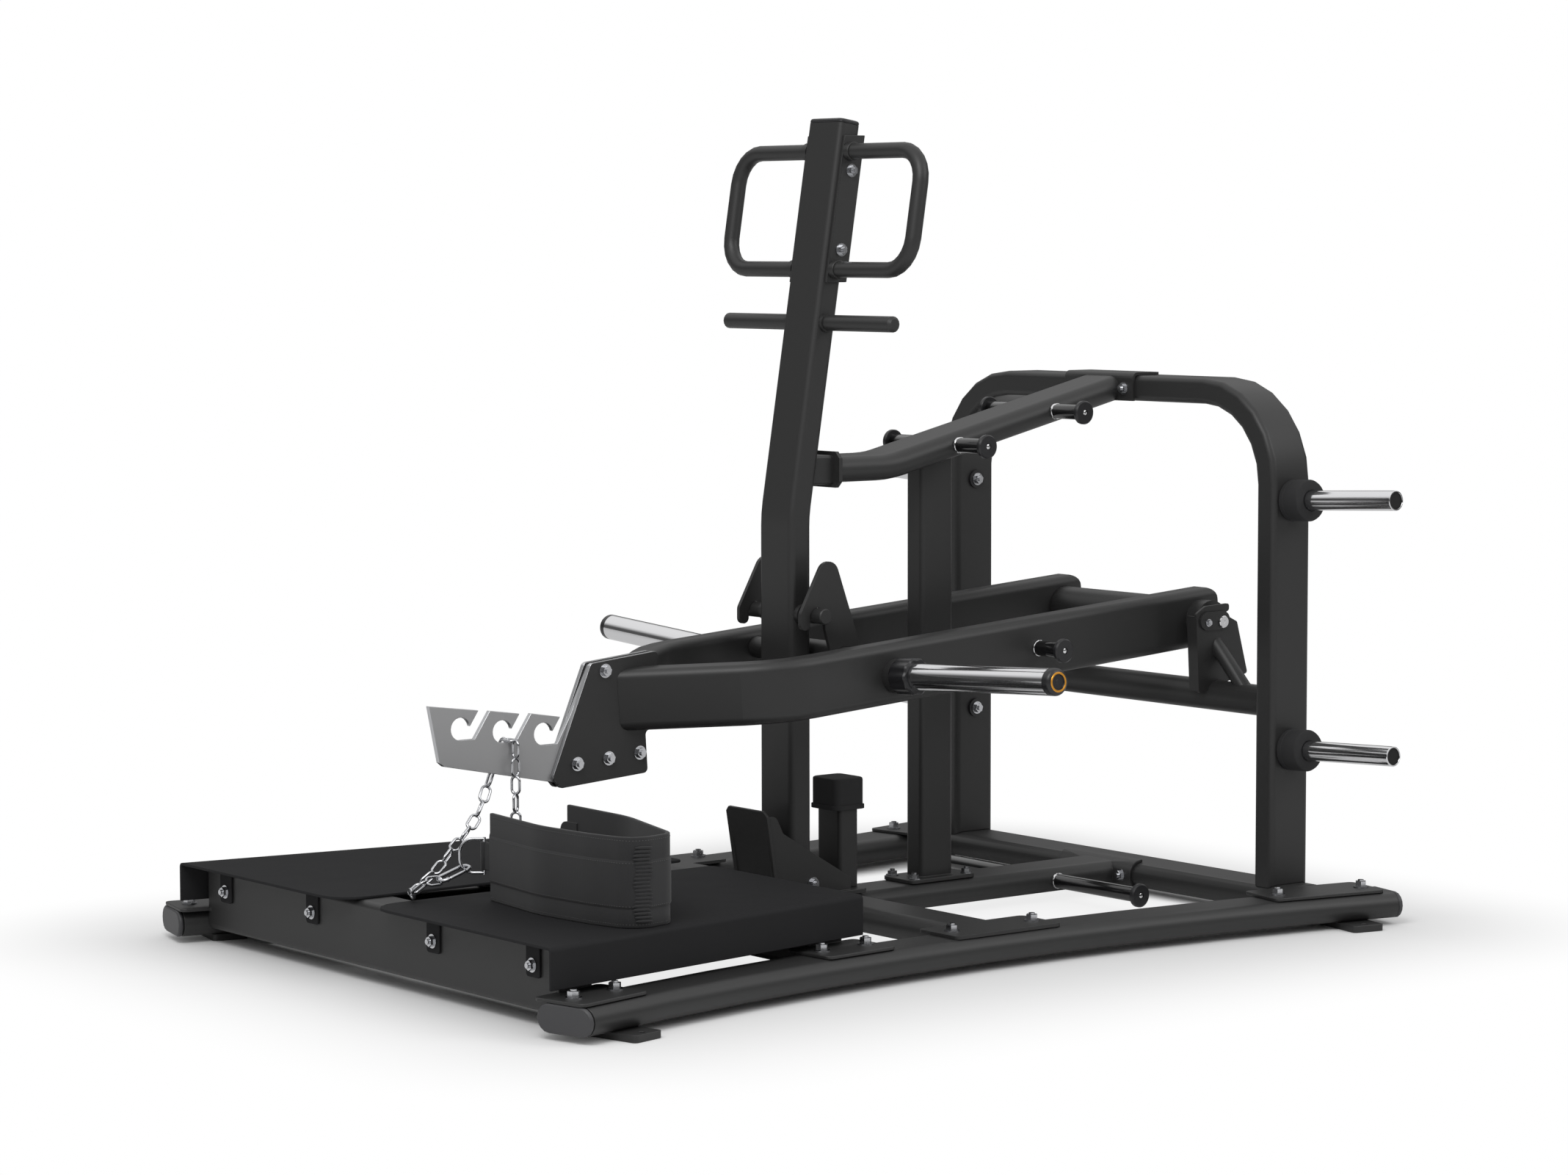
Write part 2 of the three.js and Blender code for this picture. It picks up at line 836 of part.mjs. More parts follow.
/** One folded sheet of the platform, with its skirt and its two front tabs. */
function deckGeometry() {
  const inset = foldFlangeWidth / 2;
  const sheet = extrudeZ(roundedOutline([
    [deckGapHalf, 0, deckFrontCorner],
    [deckEdgeX(0) - inset, 0, 0],
    [deckEdgeX(deckRearY) - inset, deckRearY, 0],
    [deckGapHalf, deckRearY, deckRearCorner],
  ]), deckUnderside, deckTop);
  const fold = deckFold();
  const tabs = [innerTabX, outerTabX].map(deckTab);
  return combine([sheet, fold, ...tabs]);
}

/** Skirt folded down along the outer edge. */
function deckFold() {
  const inner = foldRadius - deckThickness;
  const section = roundedOutline([
    [-foldFlangeWidth, deckUnderside, 0],
    [-deckThickness, deckUnderside, inner],
    [-deckThickness, skirtBottom, 0],
    [0, skirtBottom, 0],
    [0, deckTop, foldRadius],
    [-foldFlangeWidth, deckTop, 0],
  ]);
  const fold = extrudeY(section, -overrun, deckRearY + overrun);
  fold.rotateZ(Math.atan(deckTaper)).translate(deckFrontHalfWidth, 0, 0);
  const wide = 2 * deckFrontHalfWidth;
  const low = skirtBottom - overrun;
  const high = deckTop + overrun;
  const front = block(0, wide, -wide, 0, low, high);
  const rear = block(0, wide, deckRearY, deckRearY + wide, low, high);
  return combine([fold], [front, rear]);
}

/** Tab that hangs from the sheet in front of the front beam. */
function deckTab(x) {
  const bottom = deckUnderside - tabHeight;
  const height = tabHeight + deckThickness / 2;
  const shape = roundedOutline([
    [x - tabWidth / 2, bottom, tabCorner],
    [x + tabWidth / 2, bottom, tabCorner],
    [x + tabWidth / 2, bottom + height, 0],
    [x - tabWidth / 2, bottom + height, 0],
  ]);
  const rear = frontBeamY - platformBeamWidth / 2 - seatGap;
  return extrudeY(shape, rear - tabThickness, rear);
}

/** Both halves of the platform. */
function addDecks() {
  const deck = deckGeometry();
  for (const [name, side] of Object.entries(leftRight)) {
    addPiece(`deck_${name}`, forSide(deck, side), looks.blackCoat);
  }
}

/** Distance back of the mast's axis at a height. */
function mastAxisY(z) {
  return mastY + mastLean * Math.max(0, z - mastKneeZ);
}

/** Stations of the mast, or of the room for it when its ends run past. */
function mastStations(run = 0) {
  const top = mastTopZ + run;
  return bentRoute([
    new THREE.Vector3(0, mastY, mastFootZ - run),
    new THREE.Vector3(0, mastY, mastKneeZ),
    new THREE.Vector3(0, mastAxisY(top), top),
  ], mastKneeRadius, fineArcStep / 2);
}

/** Section of the mast, grown by a clearance; its width lies across the machine. */
function mastSection(grow = 0) {
  const width = mastWidth + 2 * grow;
  return roundedRectangle(mastDepth + 2 * grow, width, mastCorner + grow);
}

/** Room that other pieces leave for the mast. */
function mastRoom() {
  return sweep(mastSection(seatGap), mastStations(overrun), xAxis);
}

/** Point on the mast's axis at a height. */
function onMast(x, z) {
  return new THREE.Vector3(x, mastAxisY(z), z);
}

/** Mast with the lockout pin, the straight handle rod and the brace's mount welded on. */
function addMast() {
  const mast = sweep(mastSection(), mastStations(), xAxis);
  addPiece('mast', combine([mast, ...mastBars(), ...braceMount()]), looks.blackCoat);
  const cap = new THREE.ExtrudeGeometry(mastSection(), {
    depth: mastCapThickness - mastCapDome,
    bevelThickness: mastCapDome,
    bevelSize: mastCapDome,
    bevelOffset: -mastCapDome,
    bevelSegments: 2,
  });
  const wide = mastWidth + overrun;
  const under = block(-wide, wide, -wide, wide, -overrun, 0);
  const mesh = addPiece('mast_cap', combine([cap], [under]), looks.capBlack);
  mesh.position.copy(onMast(0, mastTopZ));
  mesh.position.y += seatGap * Math.sin(leanAngle);
  mesh.position.z += seatGap * Math.cos(leanAngle);
  mesh.rotation.set(-leanAngle, 0, Math.PI / 2, 'XYZ');
}

/** Round bar through the mast with a collar against each side of it. */
function collaredBar(half, radius, collarLength, collarReach, endRound) {
  const face = mastWidth / 2 - mastCorner;
  const collar = radius + collarReach;
  const collarEnd = mastWidth / 2 + collarLength;
  return turnedX([
    [0, -half], [radius - endRound, -half], [radius, -half + endRound],
    [radius, -collarEnd], [collar, -collarEnd], [collar, -face],
    [radius, -face], [radius, face], [collar, face], [collar, collarEnd],
    [radius, collarEnd], [radius, half - endRound], [radius - endRound, half], [0, half],
  ], rodSides);
}

/** Lockout pin and the straight handle rod, both through the mast. */
function mastBars() {
  const pin = collaredBar(
    pinHalfLength, pinDiameter / 2, pinCollarLength, pinCollarReach, pinEndChamfer,
  );
  const bar = collaredBar(
    rodHalfLength, handleDiameter / 2, rodCollarLength, rodCollarReach, rodEndRound,
  );
  return [
    pin.translate(0, mastAxisY(pinZ), pinZ),
    bar.translate(0, mastAxisY(rodZ), rodZ),
  ];
}

/** Mast foot: base plate, leaning front plate and two gussets with a lug. */
function addMastBase() {
  const length = basePlateRearY - basePlateFrontY;
  const middleY = (basePlateFrontY + basePlateRearY) / 2;
  const outline = roundedRectangle(basePlateWidth, length, basePlateCorner, 0, middleY);
  const plate = extrudeZ(outline, plateSeat, plateTop);
  const gusset = gussetShape();
  const inner = mastWidth / 2 + seatGap;
  const gussets = [
    extrudeX(gusset, inner, inner + gussetThickness),
    extrudeX(gusset, -inner - gussetThickness, -inner),
  ];
  addPiece('mast_base', combine([plate, frontPlate(), ...gussets]), looks.blackCoat);
}

/** Side outline of a gusset, in Y and Z. */
function gussetShape() {
  const footY = frontPlateTopY + frontPlateLean * (frontPlateTopZ - plateTop);
  const inset = frontPlateThickness / 2;
  return roundedOutline([
    [footY - inset, plateTop - basePlateThickness / 2, 0],
    [gussetRearY, plateTop - basePlateThickness / 2, 0],
    [gussetRearY, gussetToeZ, 0],
    [gussetBreakY, gussetBreakZ, 0],
    [lugRearY, lugTopZ, lugRadius],
    [frontPlateTopY + frontPlateThickness - inset, lugTopZ, 0],
  ]);
}

/** Plate across the front of the mast foot, leaning toward the platform. */
function frontPlate() {
  const lean = Math.atan(frontPlateLean);
  const height = (frontPlateTopZ - plateTop + basePlateThickness / 2) / Math.cos(lean);
  const half = basePlateWidth / 2;
  const shape = new THREE.Shape([
    new THREE.Vector2(-half, 0),
    new THREE.Vector2(half, 0),
    new THREE.Vector2(half, height - frontPlateChamfer),
    new THREE.Vector2(half - frontPlateChamfer, height),
    new THREE.Vector2(frontPlateChamfer - half, height),
    new THREE.Vector2(-half, height - frontPlateChamfer),
  ]);
  const plate = extrudeZ(shape, -frontPlateThickness, 0);
  plate.rotateX(Math.PI / 2 + lean);
  const drop = frontPlateTopZ - plateTop + basePlateThickness / 2;
  const footY = frontPlateTopY + frontPlateLean * drop;
  return plate.translate(0, footY, plateTop - basePlateThickness / 2);
}

/** Bumper post and its moulded cap. */
function addBumper() {
  const post = roundedRectangle(
    bumperPostWidth, bumperPostDepth, bumperPostCorner, 0, bumperPostY,
  );
  const postTop = bumperCapBottom - seatGap;
  addPiece('bumper_post', extrudeZ(post, plateTop + seatGap, postTop), looks.blackCoat);
  const capOutline = (grow) => roundedRectangle(
    bumperCapWidth + 2 * grow, bumperCapDepth + 2 * grow, bumperCapCorner + grow,
  );
  const cap = new THREE.ExtrudeGeometry(capOutline(0), {
    depth: bumperCapTop - bumperCapBottom - bumperCapDome,
    bevelThickness: bumperCapDome,
    bevelSize: bumperCapDome,
    bevelOffset: -bumperCapDome,
    bevelSegments: 2,
  });
  const wide = bumperCapWidth + overrun;
  const under = block(-wide, wide, -wide, wide, -overrun, 0);
  const lip = extrudeZ(capOutline(bumperLipReach), 0, bumperLipHeight);
  const mesh = addPiece('bumper_cap', combine([cap, lip], [under]), looks.rubber);
  mesh.position.set(0, bumperPostY, bumperCapBottom);
}

/** Height of the brace's centre line at a distance from the front. */
function braceCentreZ(y) {
  return braceZ + braceSlope * Math.max(0, y - braceBendY);
}

/** Stations of the brace between two distances. */
function braceStations(fromY, toY) {
  return bentRoute([
    new THREE.Vector3(0, fromY, braceZ),
    new THREE.Vector3(0, braceBendY, braceZ),
    new THREE.Vector3(0, toY, braceCentreZ(toY)),
  ], braceBendRadius, fineArcStep / 3);
}

/** The brace itself, grown by a clearance. */
function braceSweep(fromY, toY, grow = 0) {
  const height = flatTubeHeight + 2 * grow;
  const width = flatTubeWidth + 2 * grow;
  const section = roundedRectangle(height, width, height / 2);
  return sweep(section, braceStations(fromY, toY), xAxis);
}

/** Post between the base tube and the brace, on its own plate. */
function addCentrePost() {
  const plateShape = roundedRectangle(
    centrePlateWidth, centrePlateLength, centrePlateCorner, 0, centrePostY,
  );
  const plate = extrudeZ(plateShape, plateSeat, plateTop);
  const section = roundedRectangle(
    centrePostWidth, centrePostDepth, centrePostCorner, 0, centrePostY,
  );
  const top = braceCentreZ(centrePostY + centrePostDepth / 2);
  const post = extrudeZ(section, plateTop - basePlateThickness / 2, top);
  const underside = (y) => {
    return braceCentreZ(y) - flatTubeHeight / 2 / Math.cos(braceTilt) - seatGap;
  };
  const near = centrePostY - centrePostDepth;
  const far = centrePostY + centrePostDepth;
  const above = extrudeX(new THREE.Shape([
    new THREE.Vector2(near, underside(near)),
    new THREE.Vector2(far, underside(far)),
    new THREE.Vector2(far, top + overrun),
    new THREE.Vector2(near, top + overrun),
  ]), -centrePostWidth, centrePostWidth);
  addPiece('centre_post', combine([plate, post], [above]), looks.blackCoat);
}

/** Spacer and plate on the back of the mast, which the brace bolts to. */
function braceMount() {
  const spacerShape = roundedRectangle(spacerWidth, spacerHeight, spacerCorner, 0, braceZ);
  const spacer = extrudeY(spacerShape, mastAxisY(braceZ), bracePlateY + bracePlateThickness / 2);
  const plateShape = chamferedRectangle(
    bracePlateWidth, bracePlateHeight, bracePlateChamfer, 0, braceZ,
  );
  const plate = extrudeY(plateShape, bracePlateY, bracePlateY + bracePlateThickness);
  return [spacer, plate];
}

/** Brace with the bracket that wraps the arch. */
function addBrace() {
  const fromY = bracePlateY + bracePlateThickness + seatGap;
  const wrapFront = archY - archDepth / 2 - seatGap - wrapThickness;
  const rear = block(
    -flatTubeWidth, flatTubeWidth, wrapFront + wrapThickness / 2, wrapFront + 2 * flatTubeWidth,
    braceZ - flatTubeWidth, archTopZ + 2 * flatTubeWidth,
  );
  const brace = combine([braceSweep(fromY, wrapFront + overrun)], [rear]);
  addPiece('brace_arm', combine([brace, wrapGeometry(wrapFront)]), looks.blackCoat);
}

/** Rectangle with cut-off corners, centred on a place. */
function chamferedRectangle(width, height, chamfer, x, y) {
  const points = [];
  for (const [sx, sy, first] of [[1, -1, 0], [1, 1, 1], [-1, 1, 0], [-1, -1, 1]]) {
    const alongX = new THREE.Vector2(x + sx * (width / 2 - chamfer), y + sy * height / 2);
    const alongY = new THREE.Vector2(x + sx * width / 2, y + sy * (height / 2 - chamfer));
    points.push(...(first ? [alongY, alongX] : [alongX, alongY]));
  }
  return new THREE.Shape(points);
}

/** Folded plate over the front and top of the arch's top bar. */
function wrapGeometry(front) {
  const top = archTopZ + archThickness / 2 + seatGap + wrapThickness;
  const bottom = archTopZ - archThickness / 2;
  const inner = front + wrapThickness;
  const shape = roundedOutline([
    [front, bottom, 0],
    [inner, bottom, 0],
    [inner, top - wrapThickness, archCorner - wrapThickness],
    [inner + wrapTopLap, top - wrapThickness, 0],
    [inner + wrapTopLap, top, 0],
    [front, top, archCorner],
  ]);
  return extrudeX(shape, -wrapHalfWidth, wrapHalfWidth);
}

/** Turned peg that points along +X, with a neck ring and a disc on its end. */
function pegProfile(reach, root) {
  const shaft = pegShaftDiameter / 2;
  const disc = pegDiscDiameter / 2;
  return [
    [0, root], [shaft, root], [shaft, reach - pegDiscThickness - pegNeckLength],
    [shaft - pegDiscEdge, reach - pegDiscThickness], [disc, reach - pegDiscThickness],
    [disc, reach - pegDiscEdge], [disc - pegDiscEdge, reach], [0, reach],
  ];
}

/** Pair of pegs on both sides of a member, cut to the member's surface. */
function addPegPair(prefix, rootX, y, z, reach, room) {
  const peg = turnedX(pegProfile(reach, -flatTubeHeight / 4), rodSides);
  peg.translate(rootX, y, z);
  const geometry = combine([peg], [room]);
  for (const [name, side] of Object.entries(leftRight)) {
    addPiece(`${prefix}_${name}`, forSide(geometry, side), looks.glossBlack);
  }
}

/** Pegs on the brace, on the lever arm and low on the base. */
function addPegs() {
  const half = flatTubeWidth / 2;
  for (const [place, y] of [['front', frontBracePegY], ['rear', rearBracePegY]]) {
    const room = braceSweep(bracePlateY, archY, seatGap);
    addPegPair(`brace_peg_${place}`, half, y, braceCentreZ(y), pegSideReach, room);
  }
  const wall = block(0, armOuterX + seatGap, armPegY - armHeight, armPegY + armHeight, 0, archTopZ);
  addPegPair('arm_peg', armOuterX, armPegY, armCentreZ(armPegY), armPegReach, wall);
  const tube = extrudeY(flatTubeSection(0, crossTubeZ, seatGap), midBeamY, rearTubeY);
  addPegPair('base_peg', half, lowPegY, crossTubeZ, lowPegReach, tube);
}

/** Rear arch, coped over the rear cross tube. */
function addArch() {
  const foot = flangeTop - archFootDrop;
  const stations = bentRoute([
    new THREE.Vector3(-archHalfSpacing, archY, foot),
    new THREE.Vector3(-archHalfSpacing, archY, archTopZ),
    new THREE.Vector3(archHalfSpacing, archY, archTopZ),
    new THREE.Vector3(archHalfSpacing, archY, foot),
  ], archBendRadius);
  const section = roundedRectangle(archThickness, archDepth, archCorner);
  const arch = sweep(section, stations, yAxis);
  addPiece('rear_arch', combine([arch], [crossTubeRoom(rearTubeY)]), looks.blackCoat);
}

/** Round tube between the arch's uprights. */
function lowerTube() {
  const reach = archHalfSpacing - archThickness / 2 - seatGap;
  return rod(
    new THREE.Vector3(-reach, archY, lowerTubeZ),
    new THREE.Vector3(reach, archY, lowerTubeZ),
    lowerTubeDiameter / 2,
  );
}

/** Storage horns: a rubber bumper against the arch and a chromed tube through it. */
function addStorageHorns() {
  const wallX = archHalfSpacing + archThickness / 2;
  const wall = block(
    0, wallX + seatGap, archY - archDepth, archY + archDepth, 0, archTopZ,
  );
  for (const [level, z] of [['upper', storageUpperZ], ['lower', storageLowerZ]]) {
    for (const [name, side] of Object.entries(leftRight)) {
      const bumper = storagePlace(storageBumperProfile(), wallX, z);
      const bumperName = `storage_bumper_${level}_${name}`;
      addPiece(bumperName, forSide(combine([bumper], [wall]), side), looks.rubber);
      const horn = storagePlace(storageHornProfile(), wallX, z);
      const hornName = `storage_horn_${level}_${name}`;
      addPiece(hornName, forSide(combine([horn], [wall]), side), looks.chrome);
    }
  }
}

/** Turns a profile and sets it on the arch with the horns' tilt. */
function storagePlace(profile, wallX, z) {
  const piece = turnedX(profile, rodSides);
  return piece.rotateY(-storageTilt).translate(wallX, archY, z);
}

/** Bumper ring round a storage horn. */
function storageBumperProfile() {
  const bore = storageDiameter / 2 + seatGap;
  const outer = storageBumperDiameter / 2;
  const root = -storageBumperEdge;
  return [
    [bore, root], [outer, root], [outer, storageBumperLength - storageBumperEdge],
    [outer - storageBumperEdge, storageBumperLength], [bore, storageBumperLength], [bore, root],
  ];
}

/** Storage horn with a rim round its open end. */
function storageHornProfile() {
  const radius = storageDiameter / 2;
  return [
    [0, -storageBumperEdge], [radius, -storageBumperEdge],
    [radius, storageLength - storageRimWidth / 2], [radius - storageRimWidth / 2, storageLength],
    [radius - storageRimWidth, storageLength],
    [radius - storageRimWidth, storageLength - storageRimDepth],
    [0, storageLength - storageRimDepth],
  ];
}

/** Plates on the mast's sides and the two bent handles. */
function addHandles() {
  const plateX = mastWidth / 2 + seatGap;
  const plateOuter = plateX + handlePlateThickness;
  const front = -mastDepth / 2 * (1 - handlePlateFrontShare);
  const rear = mastDepth / 2 + seatGap + handlePlateThickness;
  const yAt = (z, off) => mastAxisY(z) + off / Math.cos(leanAngle);
  const sideShape = roundedOutline([
    [yAt(handlePlateBottomZ, front), handlePlateBottomZ, 0],
    [yAt(handlePlateBottomZ, rear), handlePlateBottomZ, 0],
    [yAt(handlePlateTopZ, rear), handlePlateTopZ, 0],
    [yAt(handlePlateTopZ, front), handlePlateTopZ, 0],
  ]);
  const wrap = combine([extrudeX(sideShape, -plateOuter, plateOuter)], [mastRoom()]);
  const across = new THREE.Vector3(0, -Math.cos(leanAngle), Math.sin(leanAngle));
  const rootX = plateOuter - handlePlateThickness / 2;
  const stations = bentRoute([
    onMast(rootX, handleUpperZ),
    onMast(handleCornerX, handleUpperZ),
    onMast(handleCornerX, handleLowerZ),
    onMast(rootX, handleLowerZ),
  ], handleCornerRadius);
  const loop = sweep(circleShape(handleDiameter / 2, rodSides), stations, across);
  addPiece('handles', combine([wrap, loop, mirrored(loop)]), looks.blackCoat);
}

/** Height of the lever arm's centre line at a distance from the front. */
function armCentreZ(y) {
  return pivotZ + armPivotRise + armSlope * (y - pivotY);
}

/** Point of the lever arm's centre line. */
function onArm(x, y) {
  return new THREE.Vector3(x, y, armCentreZ(y));
}

/** Lever tube of the right side, with its pivot hub. */
function leverGeometry() {
  const across = new THREE.Vector3(0, -Math.sin(armTilt), Math.cos(armTilt));
  const noseRun = overrun;
  const bendY = armNoseY + armSpacing - hookFaceX();
  const stations = bentRoute([
    onArm(hookFaceX() - noseRun, armNoseY - noseRun),
    onArm(armSpacing, bendY),
    onArm(armSpacing, armRearY),
  ], armBendRadius);
  const section = roundedRectangle(armWidth, armHeight, armCorner);
  const tube = sweep(section, stations, across);
  const hub = pivotBar(armOuterX - armCorner, armOuterX + pivotHubLength, pivotTubeDiameter / 2);
  const bore = pivotBar(
    pivotShaftRoot - seatGap, armOuterX + pivotHubLength + overrun,
    pivotShaftDiameter / 2 + pivotShaftGap,
  );
  const far = armHeight + overrun;
  const beyond = block(
    -far, hookFaceX() + seatGap, 0, armRearY, 0, archTopZ,
  );
  return combine([tube, hub], [beyond, bore, armRearCut()]);
}

/** Face of a cheek plate that the lever tubes butt against. */
function hookFaceX() {
  return hookPlateHalf + seatGap + cheekThickness;
}

/** Takes the square top corner off the rear end of a lever tube. */
function armRearCut() {
  const top = armHeight / 2;
  const corner = roundedOutline([
    [-2 * top, -2 * top, 0], [0, -2 * top, 0], [0, top, armRearCorner], [-2 * top, top, 0],
  ], fineArcStep);
  const keep = extrudeX(corner, -armWidth, armWidth);
  const around = block(
    -armWidth / 2 - seatGap, armWidth / 2 + seatGap, -armRearCorner, overrun,
    top - armRearCorner, top + overrun,
  );
  const cut = combine([around], [keep]);
  cut.rotateX(armTilt);
  return cut.translate(armSpacing, armRearY, armCentreZ(armRearY));
}

/** Bar on the pivot's axis. */
function pivotBar(fromX, toX, radius) {
  return rod(
    new THREE.Vector3(fromX, pivotY, pivotZ), new THREE.Vector3(toX, pivotY, pivotZ), radius,
  );
}

/** Both lever tubes and the tubes between them. */
function addLever() {
  const lever = leverGeometry();
  for (const [name, side] of Object.entries(leftRight)) {
    addPiece(`lever_${name}`, forSide(lever, side), looks.blackCoat);
  }
  const reach = armInnerX - seatGap;
  addPiece('pivot_tube', pivotBar(-reach, reach, pivotTubeDiameter / 2), looks.blackCoat);
  const cross = rod(
    new THREE.Vector3(-reach, armCrossTubeY, armCrossTubeZ),
    new THREE.Vector3(reach, armCrossTubeY, armCrossTubeZ),
    armCrossTubeDiameter / 2,
  );
  addPiece('lever_cross_tube', cross, looks.blackCoat);
}

/** Lower tube of the arch with a channel bracket, keeper, strut and shaft on each side. */
function addPivotCarrier() {
  const outer = bracketWebX + bracketWebThickness;
  const web = extrudeX(webShape(), bracketWebX, outer);
  const keeperShape = roundedRectangle(
    keeperLength, keeperHeight, keeperHeight / 2, keeperCentreY, keeperCentreZ,
  );
  const keeper = extrudeX(keeperShape, outer - bracketWebThickness / 2, outer + keeperThickness);
  const shaftEnd = outer + keeperThickness + seatGap;
  const shaft = pivotBar(pivotShaftRoot, shaftEnd, pivotShaftDiameter / 2);
  const inside = block(0, bracketWebX, archY - strutDiameter, archY + strutDiameter, lowerTubeZ, archTopZ);
  const strut = combine([strutBar()], [inside]);
  const bracket = combine([web, keeper, strut, shaft, ...bracketFlanges()]);
  const carrier = combine([lowerTube(), bracket, mirrored(bracket)]);
  addPiece('pivot_carrier', carrier, looks.blackCoat);
}

/** Side outline of a pivot bracket, with its stop finger. */
function webShape() {
  return roundedOutline([
    [webBottomFrontY, webBottomFrontZ, webCorner],
    [webBottomRearY, webBottomRearZ, webCorner],
    [webTopRearY, webTopRearZ, webCorner],
    [webNotchY, webNotchZ, 0],
    [webFingerTipY, webFingerUnderZ, webCorner],
    [webFingerTipY, webFingerTipZ, webCorner],
    [webFingerRootY, webFingerTopZ, webCorner],
    [webTopFrontY, webTopFrontZ, webCorner],
  ]);
}

/** Flanges along the front and rear edges of a pivot bracket. */
function bracketFlanges() {
  const from = bracketWebX - bracketFlangeDepth;
  const to = bracketWebX + bracketWebThickness / 2;
  const strip = (topY, topZ, bottomY, bottomZ, inward) => {
    const wide = inward * bracketWebThickness;
    const corners = [[topY, topZ, 0], [bottomY, bottomZ, 0], [bottomY + wide, bottomZ, 0]];
    return extrudeX(roundedOutline([...corners, [topY + wide, topZ, 0]]), from, to);
  };
  const drop = webCorner;
  return [
    strip(webTopFrontY, webTopFrontZ - drop, webBottomFrontY, webBottomFrontZ + drop, 1),
    strip(webTopRearY, webTopRearZ - drop, webBottomRearY, webBottomRearZ + drop, -1),
  ];
}

/** Diagonal strut from a bracket's web down to the lower tube. */
function strutBar() {
  return rod(
    new THREE.Vector3(bracketWebX - strutDiameter / 4, archY, strutHeadZ),
    new THREE.Vector3(strutFootX, archY, strutFootZ),
    strutDiameter / 2,
    rodSides,
  );
}

/** The pair of lockout hooks with the sleeve that joins them. */
function addLockoutHooks() {
  const hook = lockoutShape();
  const inner = hookPlateX - hookPlateThickness;
  const axis = (x) => new THREE.Vector3(x, armCrossTubeY, armCrossTubeZ);
  const sleeve = rod(axis(-hookPlateX), axis(hookPlateX), hookSleeveRadius);
  const bore = rod(
    axis(-hookPlateX - overrun), axis(hookPlateX + overrun),
    armCrossTubeDiameter / 2 + hookRunningGap,
  );
  const parts = [sleeve, extrudeX(hook, inner, hookPlateX), extrudeX(hook, -hookPlateX, -inner)];
  addPiece('lockout_hooks', combine(parts, [bore]), looks.blackCoat);
}

/** Side outline of a lockout hook, with the slot that takes the pin. */
function lockoutShape() {
  const slotWidth = hookSlotRearY - hookSlotFrontY;
  const slotTop = pinZ + pinDiameter / 2 + seatGap;
  const hub = circlePoints(armCrossTubeY, armCrossTubeZ, hookHubRadius);
  const outline = roundedOutline([
    [hookLegFootY, hookLegFootZ, 0],
    [armCrossTubeY, armCrossTubeZ, 0],
    [hookHeelY - seatGap, hookHeelZ - hookNoseRadius, 0],
    [hookHeelY, hookHeelZ, 0],
    [hookApexY, hookApexTop + hookApexRadius, hookApexRadius],
    [hookNoseY, hookNoseZ, hookNoseRadius],
    [hookNoseY, hookFingerBottom, hookFingerRadius],
    [hookSlotFrontY, hookFingerBottom, hookFingerRadius],
    [hookSlotFrontY, slotTop, slotWidth / 2],
    [hookSlotRearY, slotTop, slotWidth / 2],
    [hookSlotRearY, hookFingerBottom, 0],
  ], fineArcStep);
  return mergeOutlines(outline, hub);
}

/** Points round a circle, from the rear edge over its underside to the front. */
function circlePoints(y, z, radius) {
  const count = tubeSides / 2;
  const points = [];
  for (let i = 0; i <= count; i += 1) {
    const angle = Math.PI * i / count;
    points.push(new THREE.Vector2(y - radius * Math.cos(angle), z - radius * Math.sin(angle)));
  }
  return points;
}

/** Swaps the plain foot of an outline for a round one. */
function mergeOutlines(outline, foot) {
  const points = outline.getPoints();
  const kept = points.filter((p) => p.y > armCrossTubeZ + seatGap);
  const split = kept.findIndex((p) => p.x > armCrossTubeY);
  const fore = kept.slice(0, split);
  const aft = kept.slice(split);
  return new THREE.Shape([...fore, ...foot, ...aft]);
}

/** Loading horns: hub and grip collar, chromed sleeve and domed end cap. */
function addLoadingHorns() {
  const wall = block(0, armOuterX + seatGap, hornY - armHeight, hornY + armHeight, 0, archTopZ);
  const set = (piece) => piece.rotateY(-hornTilt).translate(armOuterX, hornY, hornRootZ);
  const hub = combine([set(hornHubGeometry())], [wall]);
  const sleeveFrom = hornHubLength + hornCollarLength + seatGap;
  const sleeveTo = sleeveFrom + hornSleeveLength;
  const sleeve = set(turnedX([
    [0, sleeveFrom], [hornSleeveDiameter / 2, sleeveFrom],
    [hornSleeveDiameter / 2, sleeveTo], [0, sleeveTo],
  ]));
  const cap = set(turnedX(hornCapProfile(sleeveTo + seatGap)));
  for (const [name, side] of Object.entries(leftRight)) {
    addPiece(`horn_hub_${name}`, forSide(hub, side), looks.capBlack);
    addPiece(`horn_sleeve_${name}`, forSide(sleeve, side), looks.chrome);
    addPiece(`horn_cap_${name}`, forSide(cap, side), looks.glossBlack);
  }
}

/** Hub with its lobed grip collar, pointing along +X. */
function hornHubGeometry() {
  const hub = turnedX([
    [0, -flatTubeHeight / 8], [hornHubDiameter / 2, -flatTubeHeight / 8],
    [hornHubDiameter / 2, hornHubLength + seatGap], [0, hornHubLength + seatGap],
  ]);
  const lobes = [];
  const count = hornCollarLobes * 4;
  for (let i = 0; i < count; i += 1) {
    const angle = 2 * Math.PI * i / count;
    const dip = hornLobeDepth * (1 - Math.cos(hornCollarLobes * angle)) / 2;
    const radius = hornCollarDiameter / 2 - dip;
    lobes.push(new THREE.Vector2(radius * Math.cos(angle), radius * Math.sin(angle)));
  }
  const collarEnd = hornHubLength + hornCollarLength;
  const collar = extrudeX(new THREE.Shape(lobes), hornHubLength, collarEnd);
  return combine([hub, collar]);
}

